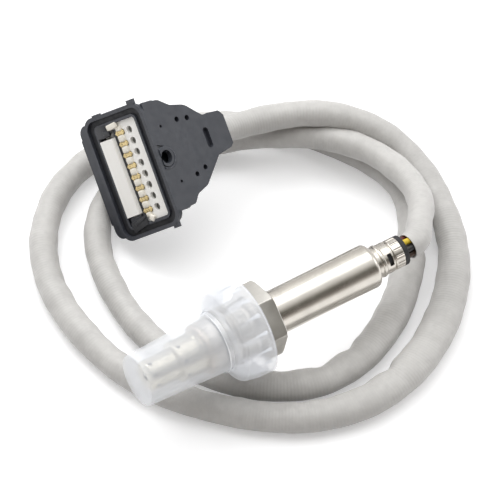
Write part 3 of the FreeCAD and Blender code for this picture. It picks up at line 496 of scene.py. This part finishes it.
def moulded_plastic(name, colour, rough, grain, worn):
    """Moulded plastic with a fine spark grain and paler scuffs."""

    def scuffs(f):
        return f.noise(f.place(), 180, 5.0, 0.6).span(0.52, 0.8, 0.0, 0.45).mixed(colour, shade(colour, worn))

    return finish(
        name,
        scuffs,
        lambda f: f.noise(f.place(), 420).span(0.3, 0.7, rough - 0.07, rough + 0.09),
        bump=lambda f: f.cells(f.place(), grain) + f.noise(f.place(), 600) * 0.5,
        depth=0.00002,
        strength=0.25,
    )


def ceramic(name, colour):
    """Fired ceramic: matt, with faint specks."""
    return finish(
        name,
        lambda f: f.noise(f.place(), 1500, 6.0).span(0.5, 0.75).mixed(colour, shade(colour, 0.86)),
        0.62,
        bump=lambda f: f.noise(f.place(), 2500, 5.0),
        depth=0.00001,
        strength=0.4,
    )


def wire_skin(name, colour):
    """Extruded insulation with faint draw lines along it."""
    return finish(
        name,
        lambda f: f.noise(f.place(), 700, 3.0).span(0.35, 0.8).mixed(colour, shade(colour, 0.78)),
        lambda f: f.noise(f.place(), 900).span(0.3, 0.7, 0.28, 0.42),
        bump=lambda f: f.noise(f.place((0.2, 1, 1)), 1800),
        depth=0.00001,
        strength=0.3,
    )


def sleeve_skin(name, colour, pitch):
    """Soft grey sleeve with fine ribs round it, which sway a little, and faint clouds."""

    def clouds(f):
        grey = f.noise(f.place(), 45) * 0.6 + f.noise(f.place(), 420) * 0.4
        return grey.span(0.35, 0.68).mixed(shade(colour, 0.9), shade(colour, 1.05))

    def ribs(f):
        along = f.node("ShaderNodeUVMap", {"uv_map": "along"}).part(0)
        sway = f.noise(f.place(), 300, 3.0) * 0.0003
        turns = (along + sway) * (2 * math.pi / pitch)
        return turns.maths("SINE", turns) * 0.5 + f.noise(f.place(), 500, 5.0) * 0.7

    return finish(
        name,
        clouds,
        lambda f: f.noise(f.place(), 160, 3.0).span(0.3, 0.7, 0.44, 0.56),
        bump=ribs,
        depth=0.00006,
        strength=0.6,
        **{"Sheen Weight": 0.15, "Sheen Roughness": 0.4},
    )


def milky_plastic(name, tint, low, high):
    """Clear plastic that is milky by this much, with a faint painted glow for the light that shines through
    it.
    """
    return finish(
        name,
        lambda f: f.noise(f.place(), 90, 3.0).span(0.3, 0.75).mixed(shade(tint, 0.97), shade(tint, 1.02)),
        lambda f: f.noise(f.place(), 160, 2.0).span(0.3, 0.7, 0.3, 0.36),
        bump=lambda f: f.noise(f.place(), 130, 1.0),
        depth=0.00001,
        strength=0.1,
        Alpha=lambda f: f.noise(f.place(), 100, 2.0).span(0.3, 0.75, low, high),
        # the faint emission is a painted glow, standing in for light that passes through the milky walls
        **{"Specular IOR Level": 0.22, "Emission Color": (0.95, 0.97, 1.0), "Emission Strength": 0.13},
    )


def floor_skin(name, colour):
    """White floor that also glows, for rays from the camera, from mirrors and through clear pieces."""

    def glow(f):
        camera, glossy, through = (
            f.node("ShaderNodeLightPath", out=kind) for kind in (CAMERA_RAY, GLOSSY_RAY, THROUGH_RAY)
        )
        return (camera + glossy + through).clamped().mixed((0, 0, 0), (1, 1, 1))

    others = {"Emission Color": glow, "Emission Strength": 0.35, "Specular IOR Level": 0.1}
    return finish(name, colour, 0.9, **others)


# Stage
class PROBE_OT_stage(bpy.types.Operator):
    """Sets the floor, the soft lamps, the world and the camera"""

    bl_idname = "probe.stage"
    bl_label = "Stage"
    bl_options = {"REGISTER", "UNDO"}

    def execute(self, context):
        stage = context.scene.stage_settings
        context.scene.view_settings.view_transform = "Standard"
        put_down()
        bpy.ops.mesh.primitive_plane_add(size=4, location=(0, 0, FLOOR - FLOOR_DROP))
        floor = settle(named("floor"))
        dress(floor, floor_skin("floor", tuple(stage.floor)))
        self.light_room(context)
        for name, place, size, share in LAMPS:
            offset = place[0] * RIGHT + place[1] * AWAY + place[2] * UP
            put_down()
            bpy.ops.object.light_add(type="AREA", location=TARGET + offset)
            lamp = context.object
            lamp.name = name
            lamp.data.energy = stage.key * share
            lamp.data.shape = "DISK"
            lamp.data.size = size
            lamp.rotation_euler = (-offset).to_track_quat("-Z", "Y").to_euler()

        put_down()
        bpy.ops.object.camera_add(location=TARGET + TOWARD * stage.distance)
        camera = context.object
        camera.rotation_euler = (-TOWARD).to_track_quat("-Z", "Y").to_euler()
        camera.data.lens = SENSOR * stage.distance / stage.field
        camera.data.clip_start = 0.05
        camera.data.clip_end = 40.0
        context.scene.camera = camera
        return {"FINISHED"}

    def light_room(self, context):
        """A bright room with a dark band, which the steel mirrors, and a white backdrop for the camera."""
        world = bpy.data.worlds.new("studio")
        context.scene.world = world
        world.use_nodes = True
        air = Field(world.node_tree)
        aim = air.node("ShaderNodeTexCoord", out=GENERATED)
        far = aim.part(0) * AWAY.x + aim.part(1) * AWAY.y
        turn = aim.maths("ARCTAN2", aim.part(2), far) * (1 / math.pi)
        room = turn.node("ShaderNodeValToRGB", {"stops": ROOM}, {"Fac": turn})
        seen = air.node("ShaderNodeLightPath", out=CAMERA_RAY).mixed(room, (1, 1, 1))
        background = world.node_tree.nodes["Background"]
        world.node_tree.links.new(seen.socket, background.inputs["Color"])
        background.inputs["Strength"].default_value = 1.0


# Cable
def follow(route, steps):
    """Places along the smooth line that has the route as its control points."""
    curve = bpy.data.curves.new("sleeve_line", "CURVE")
    curve.dimensions = "3D"
    curve.resolution_u = steps
    spline = curve.splines.new("NURBS")
    spline.points.add(len(route) - 1)
    for point, place in zip(spline.points, route):
        point.co = (place[0] * MM, place[1] * MM, place[2] * MM, 1)
    spline.order_u = 3
    spline.use_endpoint_u = True
    strand = bpy.data.objects.new("sleeve_line", curve)
    line = bpy.data.meshes.new_from_object(strand)
    places = [vertex.co.copy() for vertex in line.vertices]
    bpy.data.objects.remove(strand)
    bpy.data.curves.remove(curve)
    bpy.data.meshes.remove(line)
    return places


def unit(vectors):
    """The same directions, one metre long."""
    return vectors / np.linalg.norm(vectors, axis=-1, keepdims=True)


def sleeve_rings(sleeve, line, run):
    """The sleeve's rings of points, from the end in the plug on, and how many of them go down its open end."""
    forward = unit(np.gradient(line, axis=0))
    side = unit(np.cross(forward, (0, 0, 1.0)))
    up = np.cross(side, forward)
    count, last = len(line), len(ROUTE) - 1
    # how far along the route each place is, counted in control points
    along = np.clip(np.linspace(0, last - 1, count) + 0.5, 0, last)
    along[0], along[-1] = 0, last
    rest = np.clip(1 - (line[:, 2] - FLOOR - REST_HEIGHT) / LIFT, 0, 1)
    ripple = sum(size * np.sin(run * wave + start) for size, wave, start in RIPPLES)
    wide = np.interp(along, range(last + 1), [point[3] * MM for point in ROUTE]) + ripple * RIPPLE_WIDTH
    high = FREE_HALF + (sleeve.half_height - FREE_HALF) * rest + ripple
    centre = line + up * (np.maximum(high - SEAT, 0) * rest)[:, None]

    angle = np.linspace(0, 2 * math.pi, sleeve.around, endpoint=False)
    across = side[:, None] * (wide[:, None] * np.cos(angle))[:, :, None]
    upright = up[:, None] * (high[:, None] * np.sin(angle))[:, :, None]
    rings = centre[:, None] + across + upright
    for x, y, z, depth, reach in BUCKLES:
        near = np.linalg.norm(rings - np.array((x, y, z)) * MM, axis=2)
        pull = depth * MM * np.exp(-((near / (reach * MM)) ** 2))
        rings += unit(centre[:, None] - rings) * pull[:, :, None]
    rings[:, :, 2] = np.maximum(rings[:, :, 2], FLOOR)

    def closing(at, radius):
        """A round ring about one place of the line."""
        return centre[at] + radius * (side[at] * np.cos(angle)[:, None] + up[at] * np.sin(angle)[:, None])

    # the open end turns in and goes a few millimetres down the bore
    wall = sleeve.wall
    bore = [(back, MOUTH - wall * share) for back, share in ((0, 0.5), (1, 1.0), (3, 1.1), (6, 1.2))]
    inner = [closing(count - 1 - back, radius) for back, radius in (*bore, (8, BORE_END))]
    return np.concatenate((closing(0, TAIL_END)[None], rings, np.array(inner))), len(inner)


class PROBE_OT_sleeve(bpy.types.Operator):
    """Lays the soft grey sleeve along its route, flattened where it rests and buckled at its bends"""

    bl_idname = "probe.sleeve"
    bl_label = "Cable sleeve"
    bl_options = {"REGISTER", "UNDO"}

    def execute(self, context):
        sleeve = context.scene.sleeve_settings
        line = np.array([tuple(place) for place in follow(ROUTE, STEPS_PER_POINT)])
        run = np.concatenate(([0], np.cumsum(np.linalg.norm(np.diff(line, axis=0), axis=1))))
        rings, inner = sleeve_rings(sleeve, line, run)
        total, around = rings.shape[:2]
        lengths = np.concatenate(([-TAIL_CHART], run, run[-1] + BORE_CHART * np.arange(1, inner + 1)))
        faces, corners = [], []
        for i in range(total - 1):
            for j in range(around):
                k = (j + 1) % around
                faces.append((i * around + j, i * around + k, (i + 1) * around + k, (i + 1) * around + j))
                low, high = j / around, (j + 1) / around
                here, there = lengths[i], lengths[i + 1]
                corners += [(here, low), (here, high), (there, high), (there, low)]
        for i in (0, total - 1):
            faces.append(tuple(i * around + j for j in range(around)))
            corners += [(lengths[i], 0.5)] * around
        mesh = bpy.data.meshes.new("soft_sleeve")
        mesh.from_pydata([tuple(point) for point in rings.reshape(-1, 3)], [], faces)
        chart = mesh.uv_layers.new(name="along")
        chart.data.foreach_set("uv", np.array(corners, np.float32).ravel())
        piece = bpy.data.objects.new("soft_sleeve", mesh)
        context.scene.collection.objects.link(piece)
        open_up(piece)
        bpy.ops.mesh.normals_make_consistent(inside=False)
        bpy.ops.object.mode_set(mode="OBJECT")
        smooth(piece, 60)
        dress(piece, sleeve_skin("soft_sleeve", tuple(sleeve.colour), sleeve.rib_pitch))
        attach(piece, "probe")
        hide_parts("cable_sleeve")
        return {"FINISHED"}


class PROBE_OT_wires(bpy.types.Operator):
    """Colours the eight wires between the neck and the sleeve"""

    bl_idname = "probe.wires"
    bl_label = "Wires"
    bl_options = {"REGISTER", "UNDO"}

    def execute(self, context):
        for node, colour in WIRE_COLOURS.items():
            dress(nodes[node], wire_skin(node, colour))
        return {"FINISHED"}


# Probe
def thread_ridge(name, root, crest, low, high, pitch):
    """One helical ridge between two stations, cut flat and chamfered at both ends."""
    start = low - pitch
    # the ridge's section, in shares of the pitch
    profile = ((0.0, root), (0.06, root), (0.44, crest), (0.56, crest), (0.94, root), (1.0, root))
    piece = drawn(name, [(0, radius, start + share * pitch) for share, radius in profile])
    turns = int(math.ceil((high - low) / pitch)) + 1
    steps = RIDGE_SIDES * turns
    modify(
        piece, "SCREW", angle=2 * math.pi * turns, screw_offset=pitch * turns, steps=steps, render_steps=steps,
        axis="Z", use_merge_vertices=False,
    )
    for station, behind in ((low, True), (high, False)):
        cut_away(piece, (0, 0, station), (0, 0, 1), behind)
    # chamfers at both ends: no point stands further out than a cone
    for vertex in piece.data.vertices:
        reach = math.hypot(vertex.co.x, vertex.co.y)
        limit = root + min(vertex.co.z - low, high - vertex.co.z) * RIDGE_SLOPE
        if reach > limit:
            vertex.co.x *= limit / reach
            vertex.co.y *= limit / reach
    piece.rotation_euler = (0, math.pi / 2, 0)
    return tidy_skin(settle(piece))


def screw_core(root):
    """The screw's nose, the root of its thread and its neck, round the bore."""
    return lathe("screw_core", (
        (HEX_FRONT, SCREW_BORE), (SCREW_FRONT + 0.1, SCREW_BORE), (SCREW_FRONT, SCREW_BORE + 0.15),
        (SCREW_FRONT, NOSE_RADIUS - 0.3), (SCREW_FRONT + 0.3, NOSE_RADIUS), (THREAD_FRONT - 0.1, NOSE_RADIUS),
        (THREAD_FRONT, root - 0.03), (THREAD_BACK, root - 0.03), (THREAD_BACK + 0.1, NECK_RADIUS + 0.1),
        (THREAD_BACK + 0.6, NECK_RADIUS), (HEX_FRONT, NECK_RADIUS),
    ))


def screw_hexagon():
    """A six-sided drum, its corners turned away by cones at both ends, with the bore through it."""
    put_down()
    bpy.ops.mesh.primitive_cylinder_add(
        vertices=6, radius=HEX_FLATS / 2 / math.cos(math.radians(30)) * MM, depth=(HEX_BACK - HEX_FRONT) * MM,
        end_fill_type="NGON",
    )
    hexagon = named("screw_hexagon")
    hexagon.rotation_euler = (0, math.pi / 2, 0)
    settle(hexagon)
    hexagon.rotation_euler = (math.radians(HEX_TURN), 0, 0)
    hexagon.location = ((HEX_FRONT + HEX_BACK) / 2 * MM, 0, 0)
    settle(hexagon)
    modify(hexagon, "BEVEL", width=0.25 * MM, segments=2, limit_method="ANGLE", angle_limit=0.6)
    cones = lathe("screw_cone", (
        (THREAD_BACK + 0.9, 0), (THREAD_BACK + 0.9, HEX_FLATS / 2), (HEX_FRONT + 1.03, CORNER_REACH),
        (HEX_BACK - 1.05, CORNER_REACH), (HEX_BACK + 0.02, CORNER_REACH - 1.5), (HEX_BACK + 0.02, 0),
    ), 128)
    modify(hexagon, "BOOLEAN", operation="INTERSECT", solver="EXACT", object=cones)
    hole = lathe("screw_hole", (
        (THREAD_BACK + 0.5, 0), (THREAD_BACK + 0.5, SCREW_BORE), (HEX_BACK - 0.5, SCREW_BORE),
        (HEX_BACK + 0.4, SCREW_BORE + 0.9), (HEX_BACK + 0.4, 0),
    ))
    modify(hexagon, "BOOLEAN", operation="DIFFERENCE", solver="EXACT", object=hole)
    for spare in (cones, hole):
        bpy.data.objects.remove(spare)
    return hexagon


class PROBE_OT_screw(bpy.types.Operator):
    """Cuts the threaded hollow screw with its chamfered hexagon"""

    bl_idname = "probe.screw"
    bl_label = "Hollow screw"
    bl_options = {"REGISTER", "UNDO"}

    def execute(self, context):
        probe = context.scene.probe_settings
        root = THREAD_CREST - probe.depth / MM
        core = screw_core(root)
        low, high = (THREAD_FRONT - 0.05) * MM, (THREAD_BACK + 0.1) * MM
        ridge = thread_ridge("screw_thread", (root - 0.02) * MM, THREAD_CREST * MM, low, high, probe.pitch)
        piece = smooth(joined("threaded_screw", screw_hexagon(), core, ridge), 18)
        dress(piece, turned_steel("screw_steel", tuple(probe.screw_steel), 1.0, 0.85, (0.28, 0.34)))
        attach(piece, "screw")
        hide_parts("hollow_screw")
        return {"FINISHED"}


class PROBE_OT_tube(bpy.types.Operator):
    """Finishes the steel tube, its neck, the guard tubes and the ceramic inside"""

    bl_idname = "probe.tube"
    bl_label = "Tube and inner parts"
    bl_options = {"REGISTER", "UNDO"}

    def execute(self, context):
        steel = tuple(context.scene.probe_settings.steel)
        for node, name, colour, scale, dark, rough in (
            ("outer_tube", "tube_steel", steel, 1.0, 0.9, (0.2, 0.27)),
            ("crimp_ferrule", "ferrule_steel", steel, 1.4, 0.85, (0.18, 0.3)),
            ("probe_housing", "housing_steel", shade(steel, 0.92), 1.2, 0.7, (0.28, 0.46)),
            ("outer_protection_tube", "outer_protection_tube", (0.6, 0.56, 0.45), 1.6, 0.8, (0.1, 0.14)),
            ("inner_protection_tube", "inner_protection_tube", (0.6, 0.56, 0.45), 1.6, 0.8, (0.1, 0.14)),
            ("sealing_ring", "copper_ring", (0.6, 0.53, 0.45), 1.5, 0.8, (0.25, 0.35)),
            ("contact_springs", "spring_steel", (0.62, 0.58, 0.48), 2.0, 0.75, (0.25, 0.4)),
            ("cable_clamp", "clamp_steel", (0.6, 0.6, 0.6), 2.0, 0.75, (0.25, 0.4)),
        ):
            dress(nodes[node], turned_steel(name, colour, scale, dark, rough))
        for node in ("front_bush", "rear_bush", "contact_holder", "sensing_element"):
            dress(nodes[node], ceramic(node, (0.8, 0.77, 0.7)))
        dress(nodes["talc_packing"], ceramic("talc", (0.62, 0.62, 0.58)))
        dress(nodes["grommet"], moulded_plastic("dark_rubber", (0.022, 0.022, 0.025), 0.62, 2200, 1.6))
        return {"FINISHED"}


class PROBE_OT_cap(bpy.types.Operator):
    """Finishes the clear transport cap"""

    bl_idname = "probe.cap"
    bl_label = "Transport cap"
    bl_options = {"REGISTER", "UNDO"}

    def execute(self, context):
        tint = tuple(context.scene.probe_settings.cap)
        dress(nodes["protective_cap"], milky_plastic("clear_cap", tint, 0.31, 0.33))
        # thick places look whiter: the wedges under the rim, the lines round the steps
        wedges = joined("cap_wedges", *(self.wedge(i) for i in range(WEDGES)))
        lines = smooth(joined("cap_lines", *(self.line(*ring) for ring in CAP_LINES)), 60)
        for piece, name, low, high in ((wedges, "cap_wedge", 0.75, 0.85), (lines, "cap_line", 0.4, 0.5)):
            dress(piece, milky_plastic(name, tint, low, high))
            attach(piece, "cap")
        return {"FINISHED"}

    def wedge(self, number):
        """One four-sided wedge along the cap, which narrows towards the probe's tip."""
        put_down()
        bpy.ops.mesh.primitive_cone_add(
            vertices=4, radius1=WEDGE_WIDE * MM, radius2=WEDGE_NARROW * MM, depth=WEDGE_LENGTH * MM
        )
        wedge = named("cap_wedge")
        wedge.rotation_euler = (0, -math.pi / 2, 0)
        wedge.location = (WEDGE_PLACE * MM, 0, 0)
        settle(wedge)
        turn = FIRST_WEDGE + 360 / WEDGES * number
        wedge.rotation_euler = (math.radians(turn - 90.0), 0, 0)
        y, z = math.cos(math.radians(turn)), math.sin(math.radians(turn))
        return settle(wedge, Matrix.Translation((0, WEDGE_RADIUS * MM * y, WEDGE_RADIUS * MM * z)))

    def line(self, place, radius, thickness):
        """One thin ring round the cap."""
        put_down()
        bpy.ops.mesh.primitive_torus_add(
            major_radius=radius * MM, minor_radius=thickness * MM, major_segments=128, minor_segments=10
        )
        ring = named("cap_line")
        ring.rotation_euler = (0, math.pi / 2, 0)
        ring.location = (place * MM, 0, 0)
        return settle(ring)


# Plug
def plug_block(name, size, place, bevel=0.0, turn=0.0):
    """A block of the plug, in millimetres of the plug's own frame."""
    put_down()
    bpy.ops.mesh.primitive_cube_add(size=MM)
    piece = named(name)
    piece.scale = size
    settle(piece)
    piece.rotation_euler = (math.radians(turn), 0, 0)
    piece.location = Vector(place) * MM
    settle(piece)
    if bevel:
        modify(piece, "BEVEL", width=bevel * MM, segments=3, limit_method="ANGLE", angle_limit=0.8)
    piece.data.transform(PLUG)
    return piece


def hole_shade_disc(at):
    """A dark disc at the bottom of one round hole of the carrier: painted shade in the hole."""
    put_down()
    bpy.ops.mesh.primitive_cylinder_add(vertices=32, radius=HOLE_RADIUS * MM, depth=0.2 * MM)
    piece = named("shade_disc_of_hole")
    piece.rotation_euler = (0, math.pi / 2, 0)
    piece.location = Vector((HOLE_DEPTH, at, HOLE_ROW)) * MM
    return settle(piece, PLUG)


class PROBE_OT_plug(bpy.types.Operator):
    """Finishes the plug's housing, seal, carrier and contacts"""

    bl_idname = "probe.plug"
    bl_label = "Plug"
    bl_options = {"REGISTER", "UNDO"}

    def execute(self, context):
        plug = context.scene.plug_settings
        shell = tuple(plug.shell)
        for node in ("plug_shroud", "shell_cover", "shell_base", "end_latch"):
            dress(nodes[node], moulded_plastic(node, shell, 0.42, 2600, 1.5))
        dress(nodes["face_seal"], moulded_plastic("seal_rubber", (0.01, 0.011, 0.015), 0.6, 1800, 1.4))
        for node in ("terminal_carrier", "terminal_lock"):
            dress(nodes[node], moulded_plastic(node, tuple(plug.carrier), 0.4, 2200, 1.08))
        gold = turned_steel("plated_contacts", tuple(plug.contact), 2.4, 0.8, (0.22, 0.34))
        dress(nodes["terminals"], gold)
        cream = moulded_plastic("carrier_cream", (0.9, 0.86, 0.77), 0.42, 2200, 1.06)
        # dark plastic for the catches and flaps, and painted shade for the gap block
        dark = moulded_plastic("catch_plastic_and_gap_shade", (0.02, 0.021, 0.026), 0.35, 2200, 1.5)
        # painted shade: dark grey discs at the bottoms of the white carrier's round holes
        grey = moulded_plastic("painted_hole_shade", (0.13, 0.13, 0.12), 0.5, 2200, 1.2)
        row = [ROW_START + ROW_PITCH * i for i in range(CONTACTS)]
        for name, parts, material, slot in (
            ("carrier_barrels", self.barrels(), cream, "white_plastic"),
            ("contact_tips", [tip for at in row for tip in self.tips(at)], gold, "gold_contact"),
            ("painted_hole_shades", [hole_shade_disc(at) for at in row], grey, "white_plastic"),
            ("catches_and_painted_gap_shade", [plug_block(*block) for block in CARRIER_GAPS], dark, "plug_plastic"),
        ):
            piece = smooth(joined(name, *parts), 35)
            dress(piece, material)
            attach(piece, "probe")

        lip = self.latch_lip()
        # the lip is a paler shade of the housing plastic: a painted highlight on its raised edge
        dress(lip, moulded_plastic("latch_lip", shade(shell, 1.25), 0.4, 2600, 1.4))
        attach(lip, "probe")
        return {"FINISHED"}

    def barrels(self):
        """Rounded blocks between the contacts, smaller ones beyond the first and last, and the row's ends."""
        first, last = ROW_START - ROW_PITCH / 2, ROW_START + ROW_PITCH * (CONTACTS - 0.5)
        blocks = [plug_block("barrel", END_BARREL, (1.4, first + END_INSET, 0.2), 0.4)]
        for i in range(1, CONTACTS):
            blocks.append(plug_block("barrel", BARREL, (1.35, first + ROW_PITCH * i, 0.25), 0.7))
        blocks.append(plug_block("barrel", END_BARREL, (1.4, last - END_INSET, 0.2), 0.4))
        return blocks + [plug_block("carrier_end", *block) for block in CARRIER_ENDS]

    def tips(self, at):
        """One contact: a bar with a diamond at each end."""
        bar = plug_block("tip", TIP_BAR, (1.0, at, TIP_MIDDLE), 0.2)
        ends = (TIP_MIDDLE - TIP_HALF, TIP_MIDDLE + TIP_HALF)
        return [bar, *(plug_block("tip", TIP_DIAMOND, (0.95, at, end), 0.2, 45.0) for end in ends)]

    def latch_lip(self):
        """The raised lip round the latch hole, open towards the rim."""
        put_down()
        bpy.ops.mesh.primitive_torus_add(
            major_radius=LIP_RADIUS * MM, minor_radius=LIP_THICKNESS * MM, major_segments=96, minor_segments=12
        )
        lip = named("latch_lip")
        lip.scale = (LIP_STRETCH, 1.0, 1.0)
        lip.location = Vector(LIP_PLACE) * MM
        settle(lip)
        cut_away(lip, (LIP_END * MM, 0, 0), (1, 0, 0), fill=True)
        smooth(lip, 50)
        lip.data.transform(PLUG)
        return lip


# Panel and run
class PROBE_PT_panel(bpy.types.Panel):
    """Lists the steps that build the probe's looks"""

    bl_label = "Exhaust probe"
    bl_idname = "PROBE_PT_panel"
    bl_space_type = "VIEW_3D"
    bl_region_type = "UI"
    bl_category = "Probe"

    def draw(self, context):
        scene = context.scene
        for title, group, steps in (
            ("Studio", scene.stage_settings, ("probe.stage",)),
            ("Cable", scene.sleeve_settings, ("probe.sleeve", "probe.wires")),
            ("Probe", scene.probe_settings, ("probe.screw", "probe.tube", "probe.cap")),
            ("Plug", scene.plug_settings, ("probe.plug",)),
        ):
            box = self.layout.box()
            box.label(text=title)
            for key in group.__annotations__:
                box.prop(group, key)
            for step in steps:
                box.operator(step)


STEPS = (
    PROBE_OT_stage, PROBE_OT_sleeve, PROBE_OT_wires, PROBE_OT_screw, PROBE_OT_tube, PROBE_OT_cap, PROBE_OT_plug
)
GROUPS = (SleeveSettings, ProbeSettings, PlugSettings, StageSettings)


def register():
    for kind in (*GROUPS, *STEPS, PROBE_PT_panel):
        bpy.utils.register_class(kind)
    bpy.types.Scene.sleeve_settings = PointerProperty(type=SleeveSettings)
    bpy.types.Scene.probe_settings = PointerProperty(type=ProbeSettings)
    bpy.types.Scene.plug_settings = PointerProperty(type=PlugSettings)
    bpy.types.Scene.stage_settings = PointerProperty(type=StageSettings)


def unregister():
    for name in ("sleeve_settings", "probe_settings", "plug_settings", "stage_settings"):
        delattr(bpy.types.Scene, name)
    for kind in reversed((*GROUPS, *STEPS, PROBE_PT_panel)):
        bpy.utils.unregister_class(kind)


def main():
    register()
    for step in STEPS:
        group, name = step.bl_idname.split(".")
        getattr(getattr(bpy.ops, group), name)()


if __name__ == "__main__":
    main()
